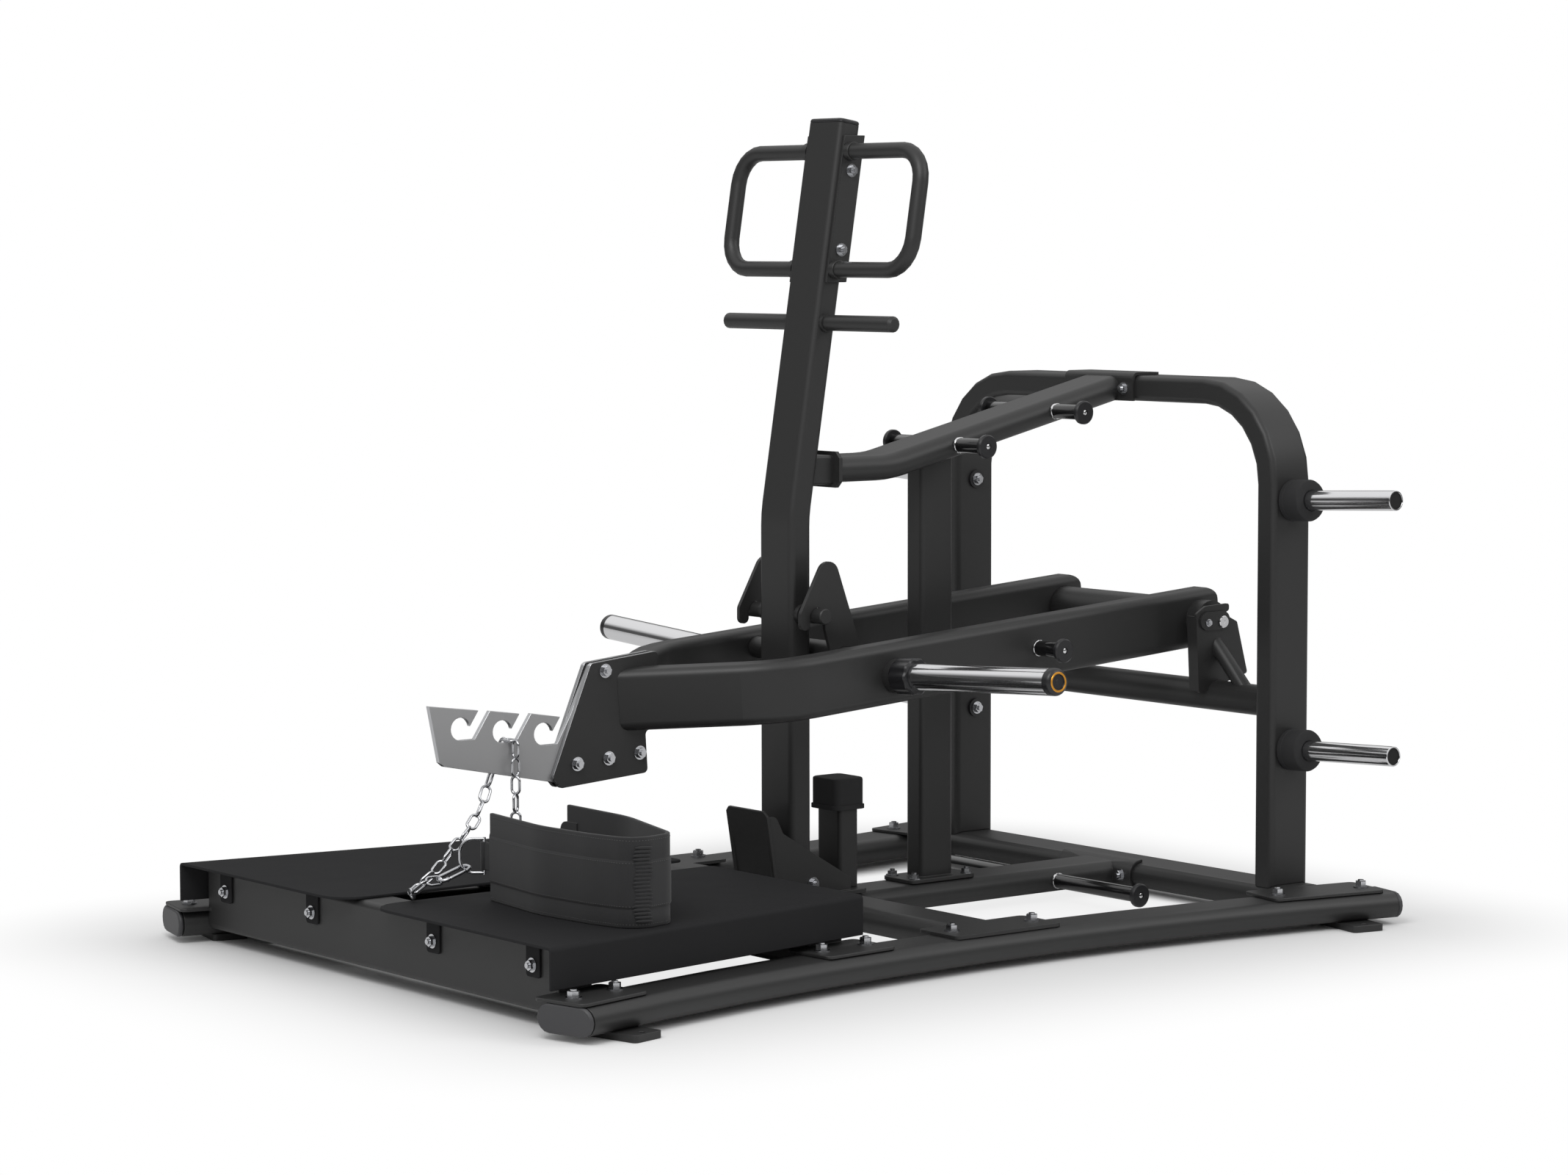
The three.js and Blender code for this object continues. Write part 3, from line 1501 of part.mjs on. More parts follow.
/** Domed end cap of a loading horn. */
function hornCapProfile(from) {
  const radius = hornSleeveDiameter / 2;
  const profile = [[0, from], [radius, from]];
  const steps = 4;
  for (let i = 0; i <= steps; i += 1) {
    const angle = Math.PI / 2 * i / steps;
    profile.push([
      radius - hornCapRound * (1 - Math.cos(angle)),
      from + hornCapLength - hornCapRound * (1 - Math.sin(angle)),
    ]);
  }
  profile.push([0, from + hornCapLength]);
  return profile;
}

/** Hook tray with its notches, between two cheek plates. */
function addHookBracket() {
  addPiece('hook_tray', extrudeX(trayShape(), -hookPlateHalf, hookPlateHalf), looks.satinSteel);
  const inner = hookPlateHalf + seatGap;
  const cheek = extrudeX(roundedOutline([
    [cheekToeY, cheekToeZ, cheekCorner],
    [cheekHeelY, cheekHeelZ, cheekCorner],
    [cheekHeelTopY, cheekHeelTopZ, cheekCorner],
    [cheekTopRearY, cheekStepZ, 0],
    [cheekTopRearY, cheekTopRearZ, cheekCorner],
    [cheekTopFrontY, cheekTopFrontZ, cheekCorner],
    [cheekFrontY, cheekFrontZ, cheekCorner],
  ], fineArcStep), inner, inner + cheekThickness);
  for (const [name, side] of Object.entries(leftRight)) {
    addPiece(`hook_cheek_${name}`, forSide(cheek, side), looks.blackCoat);
  }
}

/** Centre of a notch, counted from the front. */
function notchCentre(index) {
  const y = notchFirstY + notchPitchY * index;
  return new THREE.Vector2(y, notchFirstZ - notchDropZ * index);
}

/** Outline of the tray: bottom, back between the cheeks, and notched top from rear to front. */
function trayShape() {
  const shape = new THREE.Shape();
  shape.moveTo(trayTopFrontY, trayTopFrontZ);
  shape.lineTo(trayFrontFootY, trayFrontFootZ);
  shape.lineTo(trayFrontBottomY, trayFrontBottomZ);
  shape.lineTo(cheekToeY, cheekToeZ + cheekCorner);
  shape.lineTo(trayRearBottomY, trayRearBottomZ);
  shape.lineTo(trayRearBottomY, cheekTopFrontZ);
  shape.lineTo(cheekTopFrontY + trayCorner, cheekTopFrontZ - trayCorner);
  for (let i = notchCount - 1; i >= 0; i -= 1) {
    addNotch(shape, i);
  }
  return shape;
}

/** Cuts one notch into the tray's top edge, from its rear wall to its front lip. */
function addNotch(shape, index) {
  const centre = notchCentre(index);
  const floorZ = centre.y - notchRadius;
  const rearFootY = centre.x + notchFloorLength;
  const rise = notchMouthRise + notchRadius;
  if (index < notchCount - 1) {
    shape.lineTo(rearFootY + rise / Math.tan(notchAngle), floorZ + rise);
  } else {
    const backShare = (floorZ + rise - cheekFrontZ) / (cheekTopFrontZ - cheekFrontZ);
    const backY = cheekFrontY + (cheekTopFrontY - cheekFrontY) * backShare;
    shape.lineTo(backY, floorZ + rise);
  }
  shape.lineTo(rearFootY, floorZ);
  shape.lineTo(centre.x, floorZ);
  const lip = lipAngle();
  const sweepAngle = 3 * Math.PI / 2 - lip;
  const steps = Math.round(sweepAngle / fineArcStep);
  for (let i = 1; i <= steps; i += 1) {
    const angle = 3 * Math.PI / 2 - sweepAngle * i / steps;
    shape.lineTo(centre.x + notchRadius * Math.cos(angle), centre.y + notchRadius * Math.sin(angle));
  }
  const lipY = centre.x + notchRadius * Math.cos(lip);
  const lipZ = centre.y + notchRadius * Math.sin(lip);
  const slope = Math.tan(notchAngle);
  const reach = (notchTopZ(lipY) - lipZ) / (slope + trayTopSlope);
  shape.lineTo(lipY + reach, lipZ + reach * slope);
}

/** Angle on a notch's circle where the front wall of its mouth begins. */
function lipAngle() {
  const wallOffset = notchFloorLength * Math.sin(notchAngle) + notchRadius * Math.cos(notchAngle);
  const inset = (wallOffset - notchWidth) / notchRadius;
  return notchAngle - Math.PI / 2 + Math.acos(THREE.MathUtils.clamp(inset, -1, 1));
}

/** Belt with a sewn loop for a ring at each end. */
function addBelt() {
  const height = beltBottom + beltHeight / 2;
  const at = (x, y) => new THREE.Vector3(x, y, height);
  const stations = bentRoute([
    at(beltLeftX, beltFrontLeftY),
    at(beltFrontMidX, beltFrontMidY),
    at(beltFrontRightX, beltFrontRightY),
    at(beltCornerX, beltCornerY),
    at(beltRearCornerX, beltRearCornerY),
    at(beltRearMidX, beltRearMidY),
    at(beltRearLeftX, beltRearLeftY),
  ], beltBendRadius);
  const section = roundedRectangle(beltThickness, beltHeight, beltEdge, 0, 0, 2 * arcStep);
  const band = sweep(section, stations, zAxis);
  const loops = [
    beltLoop(beltLeftX, beltFrontLeftY), beltLoop(beltRearLeftX, beltRearLeftY),
  ];
  const bores = [
    ringBore(beltLeftX, beltFrontLeftY), ringBore(beltRearLeftX, beltRearLeftY),
  ];
  addPiece('belt', combine([band, ...loops], bores), looks.webbing);
}

/** Sewn loop at an end of the belt, before its bore is cut. */
function beltLoop(endX, y) {
  const x = endX - beltTabReach;
  const from = beltTabZ - beltTabHeight / 2;
  const to = beltTabZ + beltTabHeight / 2;
  const roll = extrudeZ(circleShape(beltTabRadius, rodSides, x, y), from, to);
  const strap = block(
    x, endX + beltThickness, y - beltTabRadius / 2, y + beltTabRadius / 2, from, to,
  );
  return combine([roll, strap]);
}

/** Bore in a sewn loop for the straight bar of a ring. */
function ringBore(endX, y) {
  const radius = ringWire / 2 + ringBoreGap;
  const hole = circleShape(radius, rodSides, endX - beltTabReach, y);
  return extrudeZ(hole, beltTabZ - beltHeight, beltTabZ + beltHeight);
}

/** Ring with a straight bar through a belt loop and a round side that swings out. */
function ringGeometry(x, y, turn) {
  const half = (ringHeight - ringWire) / 2;
  const out = ringDepth - ringWire;
  const heading = new THREE.Vector3(Math.cos(turn), Math.sin(turn), 0);
  const across = new THREE.Vector3(-Math.sin(turn), Math.cos(turn), 0);
  const at = (along, up) => {
    return new THREE.Vector3(x, y, beltTabZ + up).addScaledVector(heading, along);
  };
  const bow = sweep(circleShape(ringWire / 2, rodSides / 2), bentRoute([
    at(0, half), at(out, half), at(out, -half), at(0, -half),
  ], ringCornerRadius), across);
  const bar = rod(at(0, -half - ringWire / 2), at(0, half + ringWire / 2), ringWire / 2, rodSides / 2);
  return combine([bow, bar]);
}

/** Rings at both ends of the belt. */
function addRings() {
  const front = ringGeometry(beltLeftX - beltTabReach, beltFrontLeftY, frontRingTurn);
  addPiece('belt_ring_front', front, looks.zinc);
  const rear = ringGeometry(beltRearLeftX - beltTabReach, beltRearLeftY, rearRingTurn);
  addPiece('belt_ring_rear', rear, looks.zinc);
}

/** One chain link, long along X and flat in X and Y. */
function linkGeometry() {
  const wire = chainWire / 2;
  const bend = chainWidth / 2 - wire;
  const link = new THREE.TorusGeometry(bend, wire, chainWireSides, chainBendSteps);
  link.rotateZ(Math.PI / chainBendSteps);
  const stretch = chainPitch / 2 + wire - bend;
  const place = link.attributes.position;
  for (let i = 0; i < place.count; i += 1) {
    place.setX(i, place.getX(i) + Math.sign(place.getX(i)) * stretch);
  }
  return link;
}

/** A link set between two points, with the direction that its width lies along. */
function setLink(link, from, to, width) {
  const heading = to.clone().sub(from).normalize();
  const third = heading.clone().cross(width).normalize();
  const flat = third.clone().cross(heading);
  const middle = from.clone().add(to).multiplyScalar(1 / 2);
  const matrix = new THREE.Matrix4().makeBasis(heading, flat, third).setPosition(middle);
  return link.clone().applyMatrix4(matrix);
}

/** Joints a chord apart along a fine line of points, and how many chords the line holds. */
function walk(points, chord) {
  const joints = [points[0]];
  for (const point of points) {
    const last = joints[joints.length - 1];
    if (point.distanceTo(last) >= chord) {
      joints.push(last.clone().add(point.clone().sub(last).setLength(chord)));
    }
  }
  const left = points[points.length - 1].distanceTo(joints[joints.length - 1]);
  return { joints, held: joints.length - 1 + left / chord };
}

/** Joints of a strand, evenly apart in straight lines along a smooth route. */
function strandJoints(route) {
  const curve = new THREE.CatmullRomCurve3(route, false, 'centripetal');
  const length = curve.getLength();
  const points = curve.getSpacedPoints(strandSamples);
  const count = Math.round(walk(points, chainPitch + chainPull).held);
  let [short, long] = [length / (count + 1), length / (count - 1)];
  for (let i = 0; i < strandSamples / 10; i += 1) {
    const chord = (short + long) / 2;
    if (walk(points, chord).held > count) {
      short = chord;
    } else {
      long = chord;
    }
  }
  const { joints } = walk(points, short);
  return [...joints.slice(0, count), points[points.length - 1]];
}

/** Width directions of a strand's links, a quarter turn and a twist apart. */
function strandWidths(joints, first, twist) {
  const widths = [];
  let width = first.clone();
  for (let i = 0; i + 1 < joints.length; i += 1) {
    const heading = joints[i + 1].clone().sub(joints[i]).normalize();
    width = width.clone().addScaledVector(heading, -width.dot(heading)).normalize();
    widths.push(width);
    width = width.clone().applyAxisAngle(heading, Math.PI / 2 + twist);
  }
  return widths;
}

/** Links hung one into the next along a route, twisting slowly to the width wanted at its end. */
function strand(link, route, first, last) {
  const joints = strandJoints(route);
  const end = joints.length - 1;
  const heading = joints[end].clone().sub(joints[end - 1]).normalize();
  const plain = strandWidths(joints, first, 0).pop();
  const wanted = last.clone().addScaledVector(heading, -last.dot(heading)).normalize();
  const turn = Math.atan2(heading.dot(plain.clone().cross(wanted)), plain.dot(wanted));
  const nearest = turn - Math.PI * Math.round(turn / Math.PI);
  const widths = strandWidths(joints, first, nearest / (end - 1));
  return widths.map((width, i) => setLink(link, joints[i], joints[i + 1], width));
}

/** Chain: a link across the middle notch, one strand to the rear ring, one to the spring hook. */
function addChain() {
  const link = linkGeometry();
  const notch = notchCentre(1);
  const saddle = new THREE.Vector3(
    0, notch.x + saddleLinkReach, notch.y - notchRadius + chainWire / 2 + chainRest,
  );
  const half = new THREE.Vector3(chainPitch / 2, 0, 0);
  const across = setLink(link, saddle.clone().sub(half), saddle.clone().add(half), yAxis);
  const rearHead = new THREE.Vector3(-Math.sin(rearRingTurn), Math.cos(rearRingTurn), 0);
  const links = [
    across,
    ...strand(link, rearStrandRoute(saddle), xAxis, rearHead),
    ...strand(link, frontStrandRoute(saddle), xAxis, springHookAxes().normal),
  ];
  addPiece('chain', combine(links), looks.zinc);
}

/** Point where a strand leaves the link across the notch, on one side. */
function strandStart(saddle, side) {
  const reach = side * (chainPitch + chainWire) / 2;
  return saddle.clone().add(new THREE.Vector3(reach, 0, chainWire / 2 - chainPull));
}

/** Point between two others, by a share of the way along each axis. */
function between(from, to, [shareX, shareY, shareZ]) {
  return new THREE.Vector3(
    from.x + (to.x - from.x) * shareX,
    from.y + (to.y - from.y) * shareY,
    from.z + (to.z - from.z) * shareZ,
  );
}

/** Route of the strand on the near side of the tray, straight down and across to the rear ring. */
function rearStrandRoute(saddle) {
  const start = strandStart(saddle, 1);
  const ring = ringCorner(beltRearLeftX - beltTabReach, beltRearLeftY, rearRingTurn);
  const end = ring.point.clone().addScaledVector(ring.inward, hangingReach(ringWire));
  const approach = end.clone().addScaledVector(ring.inward, -chainPitch);
  const hanging = rearStrandShares.map((shares) => between(start, end, shares));
  return [start, ...hanging, approach, end];
}

/** Route of the strand on the far side, down to the platform and into the spring hook. */
function frontStrandRoute(saddle) {
  const start = strandStart(saddle, -1);
  const axes = springHookAxes();
  const end = axes.tail.clone().addScaledVector(axes.pull, -hangingReach(springHookWire));
  const approach = end.clone().addScaledVector(axes.pull, chainPitch);
  const hanging = frontStrandShares.map((shares) => between(start, end, shares));
  return [start, ...hanging, approach, end];
}

/** How far a strand's last joint lies past the middle of the wire that it hangs on. */
function hangingReach(wire) {
  return wire / 2 + ringBoreGap + chainRest + chainPull / 2;
}

/** Middle of a ring's lower bend, and the direction from there into the ring. */
function ringCorner(x, y, turn) {
  const slant = Math.SQRT1_2;
  const out = ringDepth - ringWire - ringCornerRadius * (1 - slant);
  const down = (ringHeight - ringWire) / 2 - ringCornerRadius * (1 - slant);
  const heading = new THREE.Vector3(Math.cos(turn), Math.sin(turn), 0);
  const point = new THREE.Vector3(x, y, beltTabZ - down).addScaledVector(heading, out);
  const inward = zAxis.clone().sub(heading).normalize();
  return { point, inward };
}

/** Ends and directions of the spring hook, which lies between the front ring and the chain. */
function springHookAxes() {
  const head = new THREE.Vector3(springHookHeadX, springHookHeadY, springHookHeadZ);
  const tail = new THREE.Vector3(springHookTailX, springHookTailY, springHookTailZ);
  const along = head.clone().sub(tail).normalize();
  const level = along.clone().cross(zAxis).normalize();
  const side = level.applyAxisAngle(along, springHookRoll);
  const normal = along.clone().cross(side);
  const pull = new THREE.Vector3(-along.x, -along.y, 0).normalize();
  const middle = head.clone().add(tail).multiplyScalar(1 / 2);
  return { tail, along, side, normal, pull, middle };
}

/** Places a piece drawn along X and Y into the plane of the spring hook. */
function inSpringHook(geometry) {
  const { along, side, normal, middle } = springHookAxes();
  const matrix = new THREE.Matrix4().makeBasis(along, side, normal).setPosition(middle);
  return geometry.applyMatrix4(matrix);
}

/** Spring hook: a bent bar that a gate closes along one side. */
function addSpringHook() {
  const half = springHookCentreLength() / 2;
  const wide = (springHookWidth - springHookWire) / 2;
  const gateHalf = gateLength / 2;
  const at = (x, y) => new THREE.Vector3(x, y, 0);
  const bend = wide - springHookWire / 8;
  const stations = bentRoute([
    at(-gateHalf, wide), at(-half, wide), at(-half, -wide),
    at(half, -wide), at(half, wide), at(gateHalf, wide),
  ], bend, arcStep);
  const bar = sweep(circleShape(springHookWire / 2, rodSides / 2), stations, zAxis);
  addPiece('spring_hook', inSpringHook(bar), looks.zinc);
  const radius = springHookWire / 2 - gateSplit;
  const straight = gateLength - 2 * gateSplit - 2 * radius;
  const gate = new THREE.CapsuleGeometry(radius, straight, 3, rodSides / 2);
  gate.rotateZ(Math.PI / 2).translate(0, wide, 0);
  addPiece('hook_gate', inSpringHook(gate), looks.zinc);
}

/** Length of the spring hook between the middles of its bar's ends. */
function springHookCentreLength() {
  const head = new THREE.Vector3(springHookHeadX, springHookHeadY, springHookHeadZ);
  return head.distanceTo(new THREE.Vector3(springHookTailX, springHookTailY, springHookTailZ));
}

addRails();
addPlatformBeam('front_beam', frontBeamY);
addPlatformBeam('platform_rear_beam', platformRearBeamY);
addCrossTubes();
addCentreTube();
addDecks();
addMast();
addMastBase();
addBumper();
addCentrePost();
addBrace();
addPegs();
addArch();
addStorageHorns();
addHandles();
addLever();
addPivotCarrier();
addLockoutHooks();
addLoadingHorns();
addHookBracket();
addBelt();
addRings();
addChain();
addSpringHook();

// The origin lies under the middle of the machine, on the floor
machine.updateMatrixWorld(true);
const extent = new THREE.Box3().setFromObject(machine);
const centre = extent.getCenter(new THREE.Vector3());
machine.position.set(-centre.x, -centre.y, -extent.min.z);

export default machine;
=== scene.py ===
"""Looks of a belt squat machine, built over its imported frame: finishes, fasteners, chain and belt."""

import logging
import math
from dataclasses import dataclass, field
from enum import Enum

import bmesh
import bpy
from mathutils import Matrix, Vector


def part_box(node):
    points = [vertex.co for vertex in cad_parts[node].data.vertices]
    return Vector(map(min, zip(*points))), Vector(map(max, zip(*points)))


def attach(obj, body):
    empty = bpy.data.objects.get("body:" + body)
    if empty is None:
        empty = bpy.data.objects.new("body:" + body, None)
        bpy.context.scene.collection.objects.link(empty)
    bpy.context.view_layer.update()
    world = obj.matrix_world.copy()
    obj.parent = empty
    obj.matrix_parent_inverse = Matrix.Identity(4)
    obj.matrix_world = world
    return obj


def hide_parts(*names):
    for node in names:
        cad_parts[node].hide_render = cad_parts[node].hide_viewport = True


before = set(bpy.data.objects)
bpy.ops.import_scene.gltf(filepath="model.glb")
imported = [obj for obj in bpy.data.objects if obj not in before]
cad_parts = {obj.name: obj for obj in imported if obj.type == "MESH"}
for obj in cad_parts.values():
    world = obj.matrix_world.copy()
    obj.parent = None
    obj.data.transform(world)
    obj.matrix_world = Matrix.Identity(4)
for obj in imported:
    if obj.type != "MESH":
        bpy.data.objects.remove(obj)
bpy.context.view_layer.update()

log = logging.getLogger("belt_squat")

Pair = tuple[float, float]
Triple = tuple[float, float, float]
Sockets = dict[str, bpy.types.NodeSocket]

MM = 0.001
# The drawing of the machine counts Y from the platform's front edge; the frame counts from its middle
FRONT_EDGE_Y = -0.97332048

UP = Vector((0, 0, 1))
FORWARD = Vector((0, -1, 0))
RIGHT = Vector((1, 0, 0))
SIDES = {"left": -1, "right": 1}

# Places that several pieces share, in millimetres of the drawing
TUBE_SIDE_X = 60.0
LEVER_SIDE_X = 231.2
ARCH_Y = 1814.0
STORAGE_HEIGHTS = {"upper": 809.5, "lower": 329.5}
PIVOT_AXIS = (1822.0, 562.0)
LOOP_Z = 229.0

# Angles in degrees over which an edge is shaded sharp
SHARP = 38.0
TURNED_SHARP = 30.0
# The live bevel: steps across an edge, the angle in degrees that it starts at, the weight of large faces
BEVEL_STEPS = 2
BEVEL_FROM = 42.0
NORMAL_WEIGHT = 60
# Turns of a route in radians: what counts as straight, and the largest that takes the gentle bend
STRAIGHT = 1e-4
SLIGHT = math.radians(25)
# Blender's wave texture multiplies its scale by this
WAVE_SCALE = 20


def place(x: float, y: float, z: float) -> Vector:
    """Turn millimetres of the machine's drawing into the frame.

    Args:
        x: millimetres to the right of the middle plane.
        y: millimetres behind the platform's front edge.
        z: millimetres above the floor.

    Returns:
        The point in metres.
    """
    return Vector((x * MM, y * MM + FRONT_EDGE_Y, z * MM))


def linear(hex_colour: str) -> tuple[float, float, float, float]:
    """Turn an sRGB hex colour into linear values, by the formula of the standard.

    Args:
        hex_colour: colour as #rrggbb.

    Returns:
        Linear red, green, blue and an alpha of 1.
    """
    values = [int(hex_colour[i:i + 2], 16) / 255 for i in (1, 3, 5)]
    red, green, blue = [
        v / 12.92 if v <= 0.04045 else ((v + 0.055) / 1.055) ** 2.4 for v in values
    ]
    return (red, green, blue, 1.0)


class Body(Enum):
    """Moving groups of the machine."""

    FRAME = "frame"
    LEVER = "lever_arm"
    LOCKOUT = "lockout"
    GATE = "gate"


# Finishes


def add_node(
    tree: bpy.types.NodeTree, kind: str, inputs: dict | None = None, **settings: object,
) -> bpy.types.Node:
    """Add a node with its settings, values and links.

    Args:
        tree: node tree that gets the node.
        kind: Blender's name for the node type.
        inputs: values or output sockets by input name or number.
        **settings: properties of the node itself.

    Returns:
        The new node.
    """
    node = tree.nodes.new(kind)
    for name, value in settings.items():
        setattr(node, name, value)
    for name, value in (inputs or {}).items():
        socket = node.inputs[name]
        if isinstance(value, bpy.types.NodeSocket):
            tree.links.new(value, socket)
        else:
            socket.default_value = value
    return node


def empty_tree(owner: bpy.types.Material | bpy.types.World) -> bpy.types.NodeTree:
    """Turn the nodes of a material or a world on, and clear them.

    Args:
        owner: material or world.

    Returns:
        Its tree.
    """
    owner.use_nodes = True
    owner.node_tree.nodes.clear()
    return owner.node_tree


@dataclass(frozen=True)
class Finish:
    """A surface as it leaves its process, with a fine grain and a slow change of gloss."""

    name: str
    colour: str
    roughness: float
    metallic: float = 0.0
    grain_mm: float = 3.0
    grain_depth_mm: float = 0.02
    grain_stretch: Triple = (1.0, 1.0, 1.0)
    gloss_spread: float = 0.05
    tone_spread: float = 0.06
    patch_mm: float = 120.0
    specular: float = 0.5
    coat: float = 0.0
    coat_roughness: float = 0.1
    sheen: float = 0.0

    def begin(self) -> tuple[bpy.types.Material, bpy.types.NodeTree, bpy.types.Node]:
        """Make the material with its shader.

        Returns:
            The material, its tree and its shader node.
        """
        material = bpy.data.materials.new(self.name)
        material.diffuse_color = linear(self.colour)
        tree = empty_tree(material)
        shader = add_node(tree, "ShaderNodeBsdfPrincipled", {
            "Base Color": linear(self.colour),
            "Metallic": self.metallic,
            "Roughness": self.roughness,
            "Specular IOR Level": self.specular,
            "Coat Weight": self.coat,
            "Coat Roughness": self.coat_roughness,
            "Sheen Weight": self.sheen,
        })
        add_node(tree, "ShaderNodeOutputMaterial", {"Surface": shader.outputs["BSDF"]})
        return material, tree, shader

    def vary(self, tree: bpy.types.NodeTree, shader: bpy.types.Node) -> None:
        """Change tone and gloss slowly over the surface.

        Args:
            tree: tree of the material.
            shader: its shader node.
        """
        metres = add_node(tree, "ShaderNodeTexCoord").outputs["Object"]
        patches = add_node(tree, "ShaderNodeTexNoise", {
            "Vector": metres, "Scale": 1 / (self.patch_mm * MM), "Detail": 3.0,
        })
        base = Vector(linear(self.colour)[:3])
        dark, light = base * (1 - self.tone_spread), base * (1 + self.tone_spread)
        tone = add_node(tree, "ShaderNodeMix", {
            "Factor": patches.outputs["Fac"], "A": (*dark, 1.0), "B": (*light, 1.0),
        }, data_type="RGBA")
        tree.links.new(tone.outputs["Result"], shader.inputs["Base Color"])
        gloss = add_node(tree, "ShaderNodeMapRange", {
            "Value": patches.outputs["Fac"],
            "To Min": self.roughness - self.gloss_spread,
            "To Max": self.roughness + self.gloss_spread,
        })
        tree.links.new(gloss.outputs["Result"], shader.inputs["Roughness"])

    def texture(self, tree: bpy.types.NodeTree, shader: bpy.types.Node) -> None:
        """Raise the fine grain as a bump.

        Args:
            tree: tree of the material.
            shader: its shader node.
        """
        metres = add_node(tree, "ShaderNodeTexCoord").outputs["Object"]
        mapping = add_node(tree, "ShaderNodeMapping", {"Vector": metres, "Scale": self.grain_stretch})
        grain = add_node(tree, "ShaderNodeTexNoise", {
            "Vector": mapping.outputs["Vector"], "Scale": 1 / (self.grain_mm * MM), "Detail": 2.0,
        })
        bump = add_node(tree, "ShaderNodeBump", {
            "Height": grain.outputs["Fac"], "Distance": self.grain_depth_mm * MM, "Strength": 1.0,
        })
        tree.links.new(bump.outputs["Normal"], shader.inputs["Normal"])

    def material(self) -> bpy.types.Material:
        """Build the finish once and hand out the same material after that.

        Returns:
            The material.
        """
        known = bpy.data.materials.get(self.name)
        if known is not None:
            return known
        material, tree, shader = self.begin()
        self.vary(tree, shader)
        self.texture(tree, shader)
        return material


@dataclass(frozen=True)
class Webbing(Finish):
    """Woven nylon: ribs across the band and yarns along it, on the piece's own UV map in metres."""

    # Real ribs are 1.3 mm apart; they are drawn twice as coarse so that they show
    rib_mm: float = 2.6
    rib_distortion: float = 0.4
    yarn_mm: float = 1.6
    yarn_distortion: float = 0.6
    weave_strength: float = 0.7

    def texture(self, tree: bpy.types.NodeTree, shader: bpy.types.Node) -> None:
        """Raise the weave as a bump.

        Args:
            tree: tree of the material.
            shader: its shader node.
        """
        uv = add_node(tree, "ShaderNodeUVMap").outputs["UV"]
        ribs, yarns = (
            add_node(tree, "ShaderNodeTexWave", {
                "Vector": uv, "Scale": math.tau / (WAVE_SCALE * pitch * MM), "Distortion": distortion,
                "Detail": 1.0,
            }, bands_direction=axis)
            for pitch, distortion, axis in (
                (self.rib_mm, self.rib_distortion, "X"), (self.yarn_mm, self.yarn_distortion, "Y"),
            )
        )
        weave = add_node(tree, "ShaderNodeMath", {
            0: ribs.outputs["Fac"], 1: yarns.outputs["Fac"],
        }, operation="MULTIPLY")
        bump = add_node(tree, "ShaderNodeBump", {
            "Height": weave.outputs["Value"], "Distance": self.grain_depth_mm * MM,
            "Strength": self.weave_strength,
        })
        tree.links.new(bump.outputs["Normal"], shader.inputs["Normal"])


# Polyester powder coat on blasted steel: matte, with the orange peel of the baked powder
POWDER_COAT = Finish(
    "black_powder_coat", "#202021", 0.48, grain_mm=2.4, grain_depth_mm=0.03, patch_mm=180, specular=0.3,
)
# Sheet steel of the platform under the same powder, duller and with little specular, in a lighter copy of
# its tone: painted light that lifts the shaded skirt
LIGHTENED_DECK_COAT = Finish(
    "deck_powder_coat_lightened", "#2a2a2b", 0.6, grain_mm=2.0, grain_depth_mm=0.04, patch_mm=90,
    gloss_spread=0.06, tone_spread=0.06, specular=0.03,
)
# Stove enamel on the turned pegs: dark and wet-looking
GLOSS_ENAMEL = Finish(
    "gloss_black_enamel", "#0e0e0f", 0.18, grain_mm=6, grain_depth_mm=0.01, coat=0.6, coat_roughness=0.06,
)
# Decorative chrome over nickel: a mirror that carries faint plating haze
CHROME = Finish(
    "chrome_plate", "#d6d7d9", 0.08, metallic=1.0, grain_mm=8, grain_depth_mm=0.004, gloss_spread=0.03,
    tone_spread=0.02,
)
# Cold zinc plate on wire and bolts: bright but softly crystalline
ZINC = Finish(
    "bright_zinc_plate", "#c3c4c7", 0.2, metallic=1.0, grain_mm=1.5, grain_depth_mm=0.01,
    gloss_spread=0.06, tone_spread=0.08, patch_mm=14,
)
# Laser-cut plate in a satin grey coat, with faint rolling lines along its length
SATIN_PLATE = Finish(
    "satin_grey_plate", "#a2a2a3", 0.42, metallic=0.35, grain_mm=1.2, grain_depth_mm=0.012,
    grain_stretch=(1.0, 0.06, 1.0), tone_spread=0.03,
)
# Bright metal on the cut edges of the plates: a painted highlight along their edges
EDGE_HIGHLIGHT = Finish(
    "painted_edge_highlight", "#c4c5c7", 0.3, metallic=1.0, grain_mm=0.9, grain_depth_mm=0.02,
    grain_stretch=(0.1, 1.0, 1.0),
)
# Injection-moulded polypropylene plugs: spark-eroded grain, a little lighter than the steel
PLASTIC = Finish("moulded_polypropylene", "#3c3c3e", 0.5, grain_mm=1.2, grain_depth_mm=0.03)
# Moulded nylon of collars, caps and discs: darker than the plugs and with more gloss
DARK_PLASTIC = Finish("moulded_nylon", "#1d1d1f", 0.36, grain_mm=1.6, grain_depth_mm=0.02)
# Moulded natural rubber: dull, with a faint bloom
RUBBER = Finish("moulded_rubber", "#262627", 0.78, grain_mm=1.4, grain_depth_mm=0.05, specular=0.35)
# Anodised aluminium ring at the sleeve ends
GOLD_RING = Finish("gold_anodised_ring", "#dc9a34", 0.32, metallic=0.6, grain_mm=3, grain_depth_mm=0.01)
# Woven nylon of the belt: dull, with a soft lustre at a low angle
NYLON_WEBBING = Webbing(
    "black_nylon_webbing", "#29292a", 0.82, grain_depth_mm=0.12, gloss_spread=0.06, tone_spread=0.12,
    patch_mm=60, specular=0.3, sheen=0.15,
)
# Bonded sewing thread: lighter than the belt, so that its rows show
THREAD = Finish("black_bonded_thread", "#4c4c4c", 0.6, grain_mm=0.8, grain_depth_mm=0.03)
